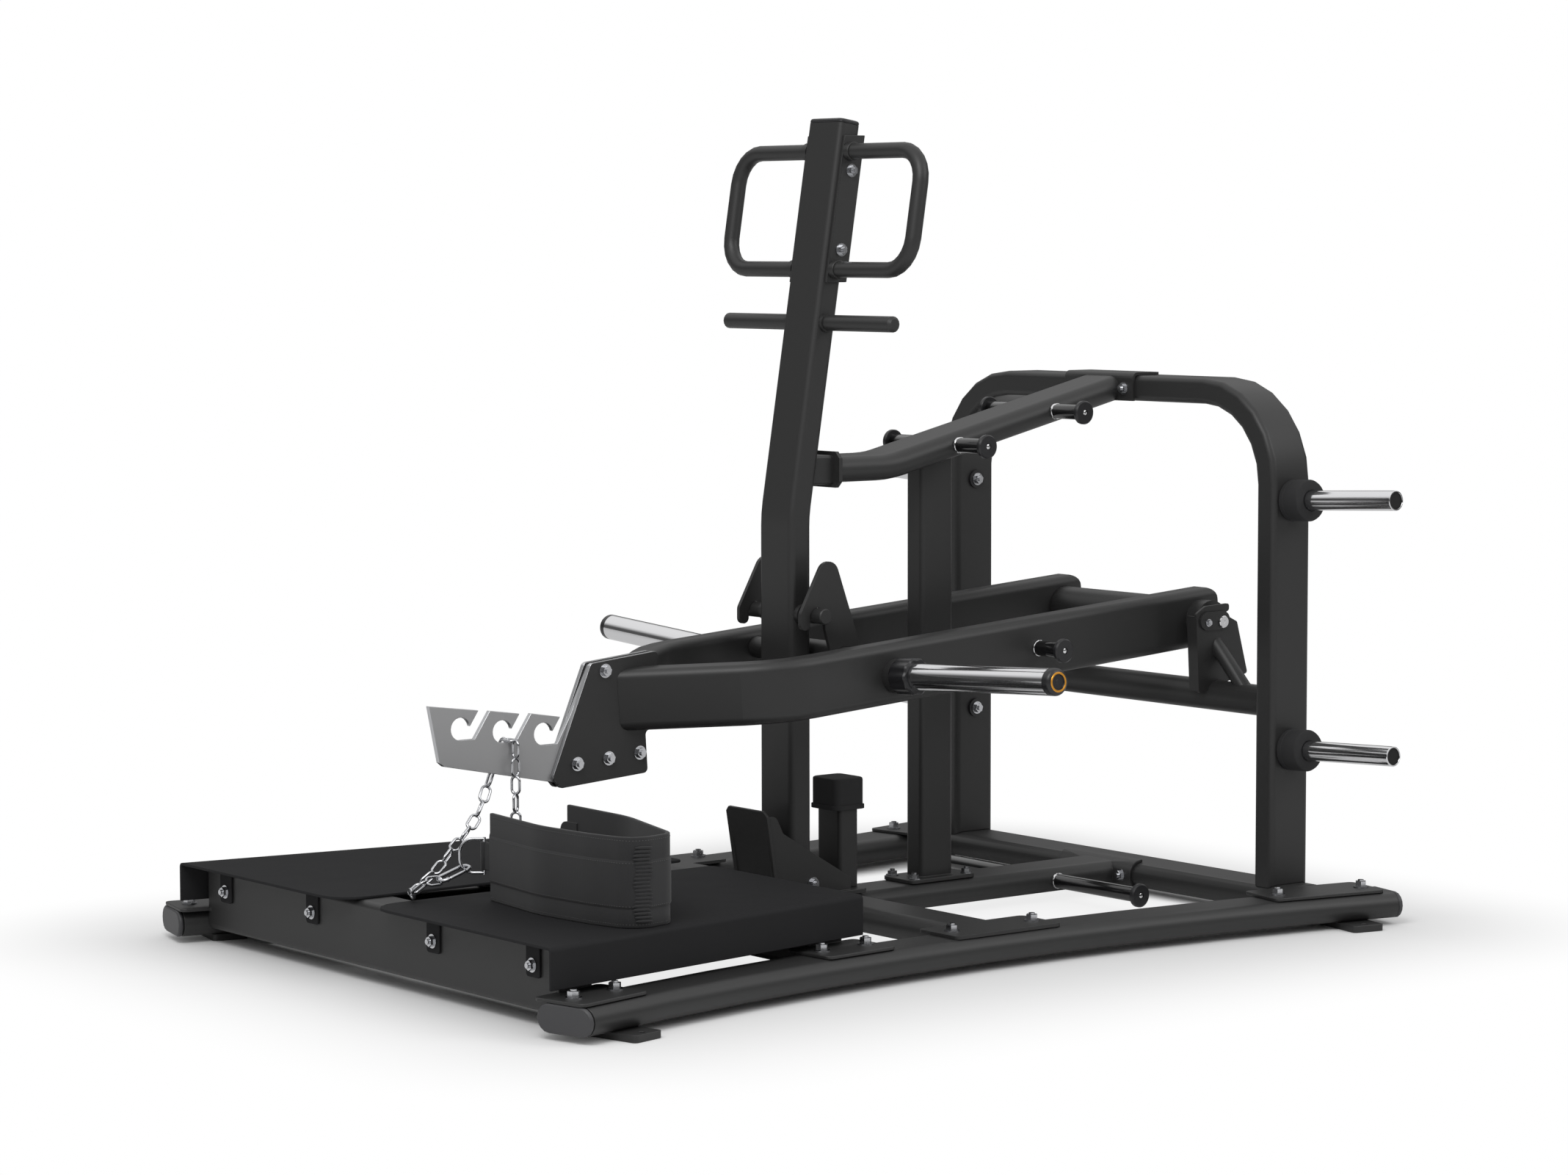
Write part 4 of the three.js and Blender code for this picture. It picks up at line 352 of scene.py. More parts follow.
# Inside of a tube that no light reaches: near black
BORE_SHADOW = Finish("unlit_tube_bore", "#0a0a0a", 0.8)


class Slot(Enum):
    """Material slots of the record."""

    POWDER = "black_powder_coat"
    GLOSS = "gloss_black_steel"
    CHROME = "chrome_plate"
    SATIN = "satin_grey_steel"
    ZINC = "zinc_plate"
    WEBBING = "black_webbing"
    PLASTIC = "moulded_plastic"
    RUBBER = "black_rubber"


# Mesh helpers


def new_piece(name: str, mesh: bpy.types.Mesh) -> bpy.types.Object:
    """Link a mesh to the scene as an object at the origin.

    Args:
        name: name of the object.
        mesh: its mesh.

    Returns:
        The object.
    """
    piece = bpy.data.objects.new(name, mesh)
    bpy.context.scene.collection.objects.link(piece)
    return piece


def shade(mesh: bpy.types.Mesh, sharp_degrees: float) -> bpy.types.Mesh:
    """Shade a mesh smooth between its sharp edges.

    Args:
        mesh: mesh to shade.
        sharp_degrees: angle over which an edge stays sharp.

    Returns:
        The same mesh.
    """
    mesh.polygons.foreach_set("use_smooth", [True] * len(mesh.polygons))
    mesh.set_sharp_from_angle(angle=math.radians(sharp_degrees))
    return mesh


def to_mesh(bm: bmesh.types.BMesh, name: str, sharp_degrees: float = SHARP) -> bpy.types.Mesh:
    """Store a bmesh as a mesh with smooth faces and sharp edges.

    Args:
        bm: mesh under work, freed here.
        name: name of the mesh.
        sharp_degrees: angle over which an edge stays sharp.

    Returns:
        The stored mesh.
    """
    mesh = bpy.data.meshes.new(name)
    bm.to_mesh(mesh)
    bm.free()
    return shade(mesh, sharp_degrees)


def coat(mesh: bpy.types.Mesh, *finishes: Finish) -> bpy.types.Mesh:
    """Give a mesh its finishes, in the order of their numbers.

    Args:
        mesh: mesh to coat.
        *finishes: surfaces to add after those that it has.

    Returns:
        The same mesh.
    """
    for finish in finishes:
        mesh.materials.append(finish.material())
    return mesh


def settle(
    piece: bpy.types.Object, finish: Finish, body: Body, slot: Slot, *nodes: str,
) -> bpy.types.Object:
    """Give a finished piece its finish and its body, and hide the nodes that it stands for.

    Args:
        piece: object at the origin.
        finish: its surface, or the first of several that it already carries.
        body: moving group that it rides on.
        slot: material slot of the record; not used.
        *nodes: frame nodes that it replaces.

    Returns:
        The piece.
    """
    if not piece.data.materials:
        coat(piece.data, finish)
    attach(piece, body.value)
    if nodes:
        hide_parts(*nodes)
    log.info("%s rides on %s", piece.name, body.value)
    return piece


def soften(piece: bpy.types.Object, width_mm: float) -> None:
    """Round a piece's hard edges with a live bevel.

    Args:
        piece: object to soften.
        width_mm: width of the rounded edge.
    """
    bevel = piece.modifiers.new("edge_round", "BEVEL")
    bevel.width = width_mm * MM
    bevel.segments = BEVEL_STEPS
    bevel.limit_method = "ANGLE"
    bevel.angle_limit = math.radians(BEVEL_FROM)
    bevel.use_clamp_overlap = True
    bevel.harden_normals = False
    weighted = piece.modifiers.new("even_shade", "WEIGHTED_NORMAL")
    weighted.keep_sharp = True
    weighted.weight = NORMAL_WEIGHT


def turned(profile: list[Pair], sides: int = 64, lobes: int = 0, depth: float = 0.0) -> bmesh.types.BMesh:
    """Turn a profile round the X axis.

    Args:
        profile: (radius, distance along X) pairs in millimetres, from axis to axis or back to the first.
        sides: steps round.
        lobes: number of dips round the piece, or none.
        depth: depth of the dips in millimetres.

    Returns:
        A closed mesh in metres.
    """
    bm = bmesh.new()
    rings: list[list[bmesh.types.BMVert]] = []
    closed = profile[0] == profile[-1]
    for radius, along in profile[:-1] if closed else profile:
        if radius <= 0:
            rings.append([bm.verts.new((along * MM, 0, 0))])
            continue
        ring = []
        for i in range(sides):
            angle = math.tau * i / sides
            dip = depth * (1 - math.cos(lobes * angle)) / 2 if lobes else 0.0
            reach = (radius - dip) * MM
            ring.append(bm.verts.new((along * MM, reach * math.cos(angle), reach * math.sin(angle))))
        rings.append(ring)
    for first, second in zip(rings, rings[1:] + (rings[:1] if closed else [])):
        for i in range(sides):
            j = (i + 1) % sides
            corners = [
                first[i % len(first)], first[j % len(first)],
                second[j % len(second)], second[i % len(second)],
            ]
            unique = list(dict.fromkeys(corners))
            if len(unique) > 2:
                bm.faces.new(unique)
    bmesh.ops.recalc_face_normals(bm, faces=bm.faces)
    return bm


def on_side(bm: bmesh.types.BMesh, side: int, root: Vector, tilt: float = 0.0) -> bmesh.types.BMesh:
    """Set a turned piece against a wall, pointing outward on one side.

    Args:
        bm: piece that points along +X from its root.
        side: 1 for the right side and -1 for the left.
        root: the right side's root in metres.
        tilt: rise of the tip in radians.

    Returns:
        The same mesh, placed.
    """
    bm.transform(Matrix.Translation(root) @ Matrix.Rotation(-tilt, 4, "Y"))
    if side < 0:
        bm.transform(Matrix.Scale(-1, 4, (1, 0, 0)))
        bmesh.ops.reverse_faces(bm, faces=bm.faces)
    return bm


def swept(points: list[Vector], radius_mm: float, sides: int) -> bmesh.types.BMesh:
    """Sweep a round bar along points.

    Args:
        points: route in metres.
        radius_mm: radius of the bar.
        sides: steps round it.

    Returns:
        A closed mesh in metres.
    """
    bm = bmesh.new()
    rings = []
    normal = (points[1] - points[0]).normalized().orthogonal().normalized()
    for before, point, after in zip([points[0], *points], points, [*points[1:], points[-1]]):
        tangent = (after - before).normalized()
        normal = (normal - tangent * normal.dot(tangent)).normalized()
        across = tangent.cross(normal)
        ring = []
        for k in range(sides):
            angle = math.tau * k / sides
            arm = normal * math.cos(angle) + across * math.sin(angle)
            ring.append(bm.verts.new(point + arm * radius_mm * MM))
        rings.append(ring)
    for first, second in zip(rings, rings[1:]):
        for k in range(sides):
            j = (k + 1) % sides
            bm.faces.new((first[k], first[j], second[j], second[k]))
    bm.faces.new(list(reversed(rings[0])))
    bm.faces.new(rings[-1])
    bmesh.ops.recalc_face_normals(bm, faces=bm.faces)
    return bm


def rounded_route(
    corners: list[Vector], radius_mm: float, step_degrees: float, gentle_mm: float | None = None,
) -> list[Vector]:
    """Round the corners of a route.

    Args:
        corners: corner points in metres.
        radius_mm: bend radius.
        step_degrees: largest turn between points.
        gentle_mm: bend radius of slight corners, where it differs.

    Returns:
        Points along the rounded route.
    """
    route = [corners[0]]
    for before, corner, after in zip(corners, corners[1:], corners[2:]):
        arriving = (corner - before).normalized()
        leaving = (after - corner).normalized()
        turn = arriving.angle(leaving)
        if turn < STRAIGHT:
            route.append(corner)
            continue
        radius = (gentle_mm if gentle_mm and turn < SLIGHT else radius_mm) * MM
        axis = arriving.cross(leaving).normalized()
        start = corner - arriving * radius * math.tan(turn / 2)
        inward = axis.cross(arriving)
        centre = start + inward * radius
        count = max(1, math.ceil(math.degrees(turn) / step_degrees))
        for k in range(count + 1):
            route.append(centre + Matrix.Rotation(turn * k / count, 3, axis) @ (-inward * radius))
    route.append(corners[-1])
    return route


def join_meshes(
    parts: list[tuple[bmesh.types.BMesh, int]], name: str, sharp_degrees: float = SHARP,
) -> bpy.types.Mesh:
    """Store several closed meshes as one, each with its own material number.

    Args:
        parts: meshes with the number of their material.
        name: name of the mesh.
        sharp_degrees: angle over which an edge stays sharp.

    Returns:
        The stored mesh.
    """
    whole = bmesh.new()
    for bm, number in parts:
        for face in bm.faces:
            face.material_index = number
        scrap = bpy.data.meshes.new("scrap")
        bm.to_mesh(scrap)
        bm.free()
        whole.from_mesh(scrap)
        bpy.data.meshes.remove(scrap)
    return to_mesh(whole, name, sharp_degrees)


# Repeated pieces


@dataclass(frozen=True)
class Spot:
    """Where one copy of a repeated shape sits: its point, the way its Z looks and the way its X looks."""

    point: Vector
    aim: Vector
    turn: Vector


@dataclass(frozen=True)
class Repeat:
    """A small shape drawn by Geometry Nodes at many spots."""

    name: str
    merge: float = 1e-6

    def sizes(self) -> dict[str, float]:
        """Give the sizes of the shape, by the names of the tree's inputs."""
        raise NotImplementedError

    def shape(self, tree: bpy.types.NodeTree, size: Sockets) -> bpy.types.NodeSocket:
        """Draw one copy, centred on the origin and looking along Z.

        Args:
            tree: tree under work.
            size: output sockets of the named inputs.

        Returns:
            The geometry socket of the shape.
        """
        raise NotImplementedError

    def tree(self) -> bpy.types.NodeTree:
        """Build the tree: the shape, its copies at the spots, their finish.

        Returns:
            The tree.
        """
        tree = bpy.data.node_groups.new(self.name, "GeometryNodeTree")
        tree.interface.new_socket("Spots", in_out="INPUT", socket_type="NodeSocketGeometry")
        tree.interface.new_socket("Copies", in_out="OUTPUT", socket_type="NodeSocketGeometry")
        for label in self.sizes():
            tree.interface.new_socket(label, in_out="INPUT", socket_type="NodeSocketFloat")
        tree.interface.new_socket("Finish", in_out="INPUT", socket_type="NodeSocketMaterial")
        start = add_node(tree, "NodeGroupInput")
        shape = self.shape(tree, {label: start.outputs[label] for label in self.sizes()})
        aim, turn = (
            add_node(tree, "GeometryNodeInputNamedAttribute", {"Name": name}, data_type="FLOAT_VECTOR")
            for name in ("aim", "turn")
        )
        upright = add_node(tree, "FunctionNodeAlignRotationToVector", {
            "Vector": aim.outputs["Attribute"],
        }, axis="Z")
        faced = add_node(tree, "FunctionNodeAlignRotationToVector", {
            "Rotation": upright.outputs["Rotation"], "Vector": turn.outputs["Attribute"],
        }, axis="X", pivot_axis="Z")
        copies = add_node(tree, "GeometryNodeInstanceOnPoints", {
            "Points": start.outputs["Spots"], "Instance": shape, "Rotation": faced.outputs["Rotation"],
        })
        real = add_node(tree, "GeometryNodeRealizeInstances", {"Geometry": copies.outputs["Instances"]})
        dressed = add_node(tree, "GeometryNodeSetMaterial", {
            "Geometry": real.outputs["Geometry"], "Material": start.outputs["Finish"],
        })
        add_node(tree, "NodeGroupOutput", {"Copies": dressed.outputs["Geometry"]})
        return tree

    def make(self, piece_name: str, spots: list[Spot], finish: Finish) -> bpy.types.Object:
        """Set the shape at every spot and bake the result to a plain mesh.

        Args:
            piece_name: name of the new object.
            spots: where the copies go.
            finish: their surface.

        Returns:
            The object, without modifiers.
        """
        mesh = bpy.data.meshes.new(piece_name)
        mesh.from_pydata([spot.point for spot in spots], [], [])
        for label, vectors in (("aim", [s.aim for s in spots]), ("turn", [s.turn for s in spots])):
            layer = mesh.attributes.new(label, "FLOAT_VECTOR", "POINT")
            layer.data.foreach_set("vector", [value for vector in vectors for value in vector])
        piece = new_piece(piece_name, mesh)
        tree = self.tree()
        modifier = piece.modifiers.new(self.name, "NODES")
        modifier.node_group = tree
        values = {**self.sizes(), "Finish": finish.material()}
        for item in tree.interface.items_tree:
            if item.in_out == "INPUT" and item.name in values:
                modifier[item.identifier] = values[item.name]
        evaluated = piece.evaluated_get(bpy.context.evaluated_depsgraph_get())
        baked = bpy.data.meshes.new_from_object(evaluated)
        piece.modifiers.clear()
        piece.data = baked
        bm = bmesh.new()
        bm.from_mesh(baked)
        bmesh.ops.remove_doubles(bm, verts=bm.verts, dist=self.merge)
        bmesh.ops.recalc_face_normals(bm, faces=bm.faces)
        bm.to_mesh(baked)
        bm.free()
        shade(baked, SHARP)
        return piece


@dataclass(frozen=True)
class HexBolt(Repeat):
    """Hex nut on a washer, with the end of the stud above it."""

    flats_mm: float = 19.0
    head_mm: float = 10.0
    washer_mm: float = 29.0
    washer_thick_mm: float = 2.5
    washer_sides: int = 32
    stud_mm: float = 6.0
    stud_share: float = 0.3
    stud_sides: int = 24

    def sizes(self) -> dict[str, float]:
        """Give the sizes of the bolt.

        Returns:
            Metres by the names of the tree's inputs.
        """
        return {
            "Across flats": self.flats_mm * MM,
            "Head height": self.head_mm * MM,
            "Washer diameter": self.washer_mm * MM,
            "Washer thickness": self.washer_thick_mm * MM,
            "Stud length": self.stud_mm * MM,
        }

    def shape(self, tree: bpy.types.NodeTree, size: Sockets) -> bpy.types.NodeSocket:
        """Draw the washer, the hexagon and the stud.

        Args:
            tree: tree under work.
            size: output sockets of the named inputs.

        Returns:
            The geometry socket of the bolt.
        """
        flats, head, washer = size["Across flats"], size["Head height"], size["Washer thickness"]
        washer_radius, corner, stud_radius, half_washer, half_head = (
            add_node(tree, "ShaderNodeMath", {0: length, 1: share}, operation=operation).outputs["Value"]
            for length, operation, share in (
                (size["Washer diameter"], "MULTIPLY", 0.5), (flats, "DIVIDE", math.sqrt(3)),
                (flats, "MULTIPLY", self.stud_share), (washer, "MULTIPLY", 0.5), (head, "MULTIPLY", 0.5),
            )
        )
        head_middle, head_top = (
            add_node(tree, "ShaderNodeMath", {0: washer, 1: above}, operation="ADD").outputs["Value"]
            for above in (half_head, head)
        )
        joined = add_node(tree, "GeometryNodeJoinGeometry")
        for sides, radius, height, middle in (
            (self.washer_sides, washer_radius, washer, half_washer),
            (6, corner, head, head_middle),
            (self.stud_sides, stud_radius, size["Stud length"], head_top),
        ):
            disc = add_node(tree, "GeometryNodeMeshCylinder", {
                "Vertices": sides, "Radius": radius, "Depth": height,
            })
            lift = add_node(tree, "ShaderNodeCombineXYZ", {"Z": middle})
            lifted = add_node(tree, "GeometryNodeTransform", {
                "Geometry": disc.outputs["Mesh"], "Translation": lift.outputs["Vector"],
            })
            tree.links.new(lifted.outputs["Geometry"], joined.inputs["Geometry"])
        return joined.outputs["Geometry"]


@dataclass(frozen=True)
class ChainLink(Repeat):
    """Welded link of round wire, long along X and flat in X and Y."""

    length_mm: float = 36.0
    width_mm: float = 22.0
    wire_mm: float = 5.0
    wire_sides: int = 12
    bend_steps: int = 7
    bend_share: float = 0.999

    def sizes(self) -> dict[str, float]:
        """Give the sizes of the link.

        Returns:
            Metres by the names of the tree's inputs.
        """
        return {
            "Wire middle length": (self.length_mm - self.wire_mm) * MM,
            "Wire middle width": (self.width_mm - self.wire_mm) * MM,
            "Wire radius": self.wire_mm / 2 * MM,
            "Bend radius": (self.width_mm - self.wire_mm) / 2 * MM * self.bend_share,
        }

    def shape(self, tree: bpy.types.NodeTree, size: Sockets) -> bpy.types.NodeSocket:
        """Draw the wire's middle line, round its ends and sweep the wire.

        Args:
            tree: tree under work.
            size: output sockets of the named inputs.

        Returns:
            The geometry socket of the link.
        """
        loop = add_node(tree, "GeometryNodeCurvePrimitiveQuadrilateral", {
            "Width": size["Wire middle length"], "Height": size["Wire middle width"],
        })
        bent = add_node(tree, "GeometryNodeFilletCurve", {
            "Curve": loop.outputs["Curve"], "Count": self.bend_steps, "Radius": size["Bend radius"],
        }, mode="POLY")
        wire = add_node(tree, "GeometryNodeCurvePrimitiveCircle", {
            "Resolution": self.wire_sides, "Radius": size["Wire radius"],
        })
        solid = add_node(tree, "GeometryNodeCurveToMesh", {
            "Curve": bent.outputs["Curve"], "Profile Curve": wire.outputs["Curve"],
        })
        return solid.outputs["Mesh"]


@dataclass(frozen=True)
class Stitch(Repeat):
    """One visible stitch: a short raised bead of thread, long along X."""

    length_mm: float = 3.4
    thread_mm: float = 1.1
    fineness: int = 1

    def sizes(self) -> dict[str, float]:
        """Give the sizes of the stitch, in metres."""
        return {"Stitch length": self.length_mm * MM, "Thread": self.thread_mm * MM}

    def shape(self, tree: bpy.types.NodeTree, size: Sockets) -> bpy.types.NodeSocket:
        """Draw a ball one metre across and scale it to the stitch's size.

        Args:
            tree: tree under work.
            size: output sockets of the named inputs.

        Returns:
            The geometry socket of the stitch.
        """
        ball = add_node(tree, "GeometryNodeMeshIcoSphere", {"Radius": 0.5, "Subdivisions": self.fineness})
        scale = add_node(tree, "ShaderNodeCombineXYZ", {
            "X": size["Stitch length"], "Y": size["Thread"], "Z": size["Thread"],
        })
        bead = add_node(tree, "GeometryNodeTransform", {
            "Geometry": ball.outputs["Mesh"], "Scale": scale.outputs["Vector"],
        })
        return bead.outputs["Geometry"]


# Steelwork kept from the solids


@dataclass
class Steelwork:
    """Welded and bolted steel whose solids are true: each is merged, rounded at its edges and coated."""

    coated: dict[Body, tuple[str, ...]] = field(default_factory=lambda: {
        Body.FRAME: (
            "rail_left", "rail_right", "front_beam", "platform_rear_beam", "mid_cross_beam",
            "rear_cross_tube", "base_centre_tube", "mast", "mast_base", "bumper_post", "centre_post",
            "brace_arm", "rear_arch", "handles", "pivot_carrier",
        ),
        Body.LEVER: ("lever_left", "lever_right", "pivot_tube", "lever_cross_tube"),
        Body.LOCKOUT: ("lockout_hooks",),
    })
    edge_mm: float = 1.2
    plate_edge_mm: float = 0.9
    plug_edge_mm: float = 1.0
    mast_plug_edge_mm: float = 1.5
    rubber_edge_mm: float = 2.0
    merge: float = 5e-6
    flat_degrees: float = 0.4
    side_facing: float = 0.9

    def carry(
        self, node: str, body: Body, finish: Finish, slot: Slot, edge_mm: float, edge: Finish | None = None,
    ) -> bpy.types.Object:
        """Make a finished copy of one node.

        Args:
            node: name of the frame node.
            body: moving group that it rides on.
            finish: surface of the copy.
            slot: material slot of the record.
            edge_mm: width of the rounded edges.
            edge: surface of the faces that look away from X, for cut plates.

        Returns:
            The copy.
        """
        bm = bmesh.new()
        bm.from_mesh(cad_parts[node].data)
        bmesh.ops.remove_doubles(bm, verts=bm.verts, dist=self.merge)
        flat = math.radians(self.flat_degrees)
        bmesh.ops.dissolve_limit(bm, angle_limit=flat, verts=bm.verts, edges=bm.edges)
        if edge is not None:
            for face in bm.faces:
                face.material_index = 0 if abs(face.normal.x) > self.side_facing else 1
        mesh = coat(to_mesh(bm, f"{node}_finished"), finish)
        if edge is not None:
            coat(mesh, edge)
        piece = new_piece(f"{node}_finished", mesh)
        soften(piece, edge_mm)
        return settle(piece, finish, body, slot, node)

    def build(self) -> None:
        """Coat the steelwork, the decks, the plates and the moulded plugs."""
        for body, nodes in self.coated.items():
            for node in nodes:
                self.carry(node, body, POWDER_COAT, Slot.POWDER, self.edge_mm)
        for side in SIDES:
            # The decks take the lightened coat, painted light on their shaded skirts
            self.carry(f"deck_{side}", Body.FRAME, LIGHTENED_DECK_COAT, Slot.POWDER, self.edge_mm)
            cheek = f"hook_cheek_{side}"
            # The cheeks' edge faces take bright metal, a painted highlight
            self.carry(cheek, Body.LEVER, POWDER_COAT, Slot.POWDER, self.plate_edge_mm, EDGE_HIGHLIGHT)
            for end in ("front", "rear"):
                self.carry(f"rail_cap_{end}_{side}", Body.FRAME, PLASTIC, Slot.PLASTIC, self.plug_edge_mm)
        # The tray's edge faces take bright metal, a painted highlight
        self.carry("hook_tray", Body.LEVER, SATIN_PLATE, Slot.SATIN, self.plate_edge_mm, EDGE_HIGHLIGHT)
        self.carry("mast_cap", Body.FRAME, DARK_PLASTIC, Slot.PLASTIC, self.mast_plug_edge_mm)
        self.carry("bumper_cap", Body.FRAME, RUBBER, Slot.RUBBER, self.rubber_edge_mm)


# Turned pieces


@dataclass
class PlateSleeves:
    """Loading sleeves on the lever arm: hub, lobed collar, chromed sleeve, ringed cap."""

    root: Vector = field(default_factory=lambda: place(LEVER_SIDE_X, 1043.5, 501.5))
    tilt: float = math.radians(3.3)
    gap: float = 0.3
    hub_seat: float = 0.4
    hub_radius: float = 32.5
    hub_to: float = 17.0
    collar_radius: float = 35.0
    collar_to: float = 64.0
    collar_round: float = 3.0
    collar_rim: float = 1.0
    collar_lobes: int = 10
    lobe_depth: float = 2.5
    lobe_steps: int = 12
    sleeve_radius: float = 25.0
    sleeve_to: float = 436.3
    sleeve_chamfer: float = 0.8
    cap_to: float = 454.6
    dome_radius: float = 9.0
    dome_steps: int = 8
    dish_radius: float = 14.0
    dish_depth: float = 2.2
    dish_draft: float = 1.0
    button_radius: float = 5.0
    button_sunk: float = 1.4
    ring_inner: float = 14.4
    ring_outer: float = 18.4
    ring_sunk: float = 3.0
    ring_proud: float = 0.6
    ring_chamfer: float = 0.8
    ring_draft: float = 0.4
    sides: int = 80

    def hub(self, side: int) -> bpy.types.Mesh:
        """Draw the welded hub and the lobed grip collar.

        Args:
            side: 1 for the right side and -1 for the left.

        Returns:
            The mesh, with the collar as its second material.
        """
        start, end = self.hub_to, self.collar_to
        radius, rounding = self.collar_radius, self.collar_round
        hub = turned([
            (0, self.hub_seat), (self.hub_radius, self.hub_seat),
            (self.hub_radius, start + self.hub_seat), (0, start + self.hub_seat),
        ])
        collar = turned([
            (0, start), (radius - rounding, start), (radius, start + rounding), (radius, end - rounding),
            (radius - rounding, end), (self.sleeve_radius + self.collar_rim, end), (0, end),
        ], sides=self.collar_lobes * self.lobe_steps, lobes=self.collar_lobes, depth=self.lobe_depth)
        return join_meshes([
            (on_side(hub, side, self.root, self.tilt), 0),
            (on_side(collar, side, self.root, self.tilt), 1),
        ], "hub")

    def sleeve(self, side: int) -> bpy.types.Mesh:
        """Draw the chromed tube.

        Args:
            side: 1 for the right side and -1 for the left.

        Returns:
            The mesh.
        """
        radius, chamfer = self.sleeve_radius, self.sleeve_chamfer
        start, end = self.collar_to + self.gap, self.sleeve_to
        bm = turned([
            (0, start), (radius - chamfer, start), (radius, start + chamfer), (radius, end), (0, end),
        ], sides=self.sides)
        return to_mesh(on_side(bm, side, self.root, self.tilt), "sleeve", TURNED_SHARP)

    def cap(self, side: int) -> bpy.types.Mesh:
        """Draw the domed cap and the coloured ring in its face.

        Args:
            side: 1 for the right side and -1 for the left.

        Returns:
            The mesh, with the ring as its second material.
        """
        start, end = self.sleeve_to + self.gap, self.cap_to
        dome = []
        for step in range(self.dome_steps):
            angle = math.pi / 2 * step / self.dome_steps
            inward, back = 1 - math.cos(angle), 1 - math.sin(angle)
            dome.append((self.sleeve_radius - self.dome_radius * inward, end - self.dome_radius * back))
        floor, button = end - self.dish_depth, end - self.button_sunk
        cap = turned([
            (0, start), (self.sleeve_radius, start), *dome, (self.dish_radius, end),
            (self.dish_radius - self.dish_draft, floor), (self.button_radius, floor),
            (self.button_radius - self.dish_draft, button), (0, button),
        ], sides=self.sides)
        inner, outer, chamfer = self.ring_inner, self.ring_outer, self.ring_chamfer
        low, high = end - self.ring_sunk, end + self.ring_proud
        ring = turned([
            (inner, low), (outer - self.ring_draft, low), (outer, end - self.ring_draft),
            (outer - chamfer, high), (inner + chamfer, high), (inner, high - chamfer), (inner, low),
        ], sides=self.sides)
        return join_meshes([
            (on_side(cap, side, self.root, self.tilt), 0),
            (on_side(ring, side, self.root, self.tilt), 1),
        ], "cap")

    def build(self) -> None:
        """Make both sleeves."""
        for name, side in SIDES.items():
            hub = new_piece(f"sleeve_collar_{name}", coat(self.hub(side), POWDER_COAT, DARK_PLASTIC))
            settle(hub, DARK_PLASTIC, Body.LEVER, Slot.PLASTIC, f"horn_hub_{name}")
            sleeve = new_piece(f"loading_sleeve_{name}", self.sleeve(side))
            settle(sleeve, CHROME, Body.LEVER, Slot.CHROME, f"horn_sleeve_{name}")
            cap = new_piece(f"sleeve_cap_{name}", coat(self.cap(side), DARK_PLASTIC, GOLD_RING))
            settle(cap, DARK_PLASTIC, Body.LEVER, Slot.PLASTIC, f"horn_cap_{name}")


@dataclass
class StorageSleeves:
    """Chromed storage tubes on the rear arch with their rubber bumpers."""

    wall_x: float = 491.0
    tilt: float = math.radians(2.7)
    radius: float = 19.0
    length: float = 272.0
    tube_seat: float = 0.8
    mouth_round: float = 1.0
    wall: float = 3.0
    bore_edge: Pair = (0.4, 0.6)
    bore_depth: float = 2.0
    bore_slack: Pair = (0.1, 0.3)
    tube_sides: int = 64
    bumper_radius: float = 40.0
    bumper_from: float = 2.4
    bumper_to: float = 50.0
    bumper_round: float = 5.0
    round_share: float = 0.32
    bore_gap: float = 0.3
    bore_lead: Pair = (2.0, 1.5)
    groove_from: float = 12.0
    groove_slope: float = 1.0
    groove_floor: float = 2.0
    groove_depth: float = 0.8
    bumper_sides: int = 72

    def tube(self, side: int, root: Vector) -> bpy.types.Mesh:
        """Draw the tube with its open end.

        Args:
            side: 1 for the right side and -1 for the left.
            root: the right side's root in metres.

        Returns:
            The mesh, with the bottom of the bore as its second material.
        """
        radius, end = self.radius, self.length
        bore, bottom = radius - self.wall, end - self.bore_depth
        bm = turned([
            (0, self.tube_seat), (radius, self.tube_seat), (radius, end - self.mouth_round),
            (radius - self.mouth_round, end), (bore + self.bore_edge[0], end),
            (bore, end - self.bore_edge[1]), (bore, bottom), (0, bottom),
        ], sides=self.tube_sides)
        within, past = (bore + self.bore_slack[0]) * MM, (bottom - self.bore_slack[1]) * MM
        for face in bm.faces:
            inside = all(v.co.x > past and math.hypot(v.co.y, v.co.z) < within for v in face.verts)
            face.material_index = 1 if inside else 0
        return to_mesh(on_side(bm, side, root, self.tilt), "tube", TURNED_SHARP)

    def bumper(self, side: int, root: Vector) -> bpy.types.Mesh:
        """Draw the bumper ring with its moulded groove.

        Args:
            side: 1 for the right side and -1 for the left.
            root: the right side's root in metres.

        Returns:
            The mesh.
        """
        outer, inner = self.bumper_radius, self.radius + self.bore_gap
        start, end, rounding = self.bumper_from, self.bumper_to, self.bumper_round
        shoulder = rounding * self.round_share
        groove, slope = outer - self.groove_depth, self.groove_slope
        near = self.groove_from + slope
        far = near + self.groove_floor
        bm = turned([
            (inner, start), (outer, start), (outer, near - slope), (groove, near), (groove, far),
            (outer, far + slope), (outer, end - rounding), (outer - shoulder, end - shoulder),
            (outer - rounding, end), (inner + self.bore_lead[0], end), (inner, end - self.bore_lead[1]),
            (inner, start),
        ], sides=self.bumper_sides)
        return to_mesh(on_side(bm, side, root, self.tilt), "bumper", TURNED_SHARP)

    def build(self) -> None:
        """Make the four tubes and bumpers."""
        for level, height in STORAGE_HEIGHTS.items():
            root = place(self.wall_x, ARCH_Y, height)
            for name, side in SIDES.items():
                mesh = coat(self.tube(side, root), CHROME, BORE_SHADOW)
                tube = new_piece(f"storage_tube_{level}_{name}", mesh)
                settle(tube, CHROME, Body.FRAME, Slot.CHROME, f"storage_horn_{level}_{name}")
                ring = new_piece(f"storage_ring_{level}_{name}", self.bumper(side, root))
                settle(ring, RUBBER, Body.FRAME, Slot.RUBBER, f"storage_bumper_{level}_{name}")


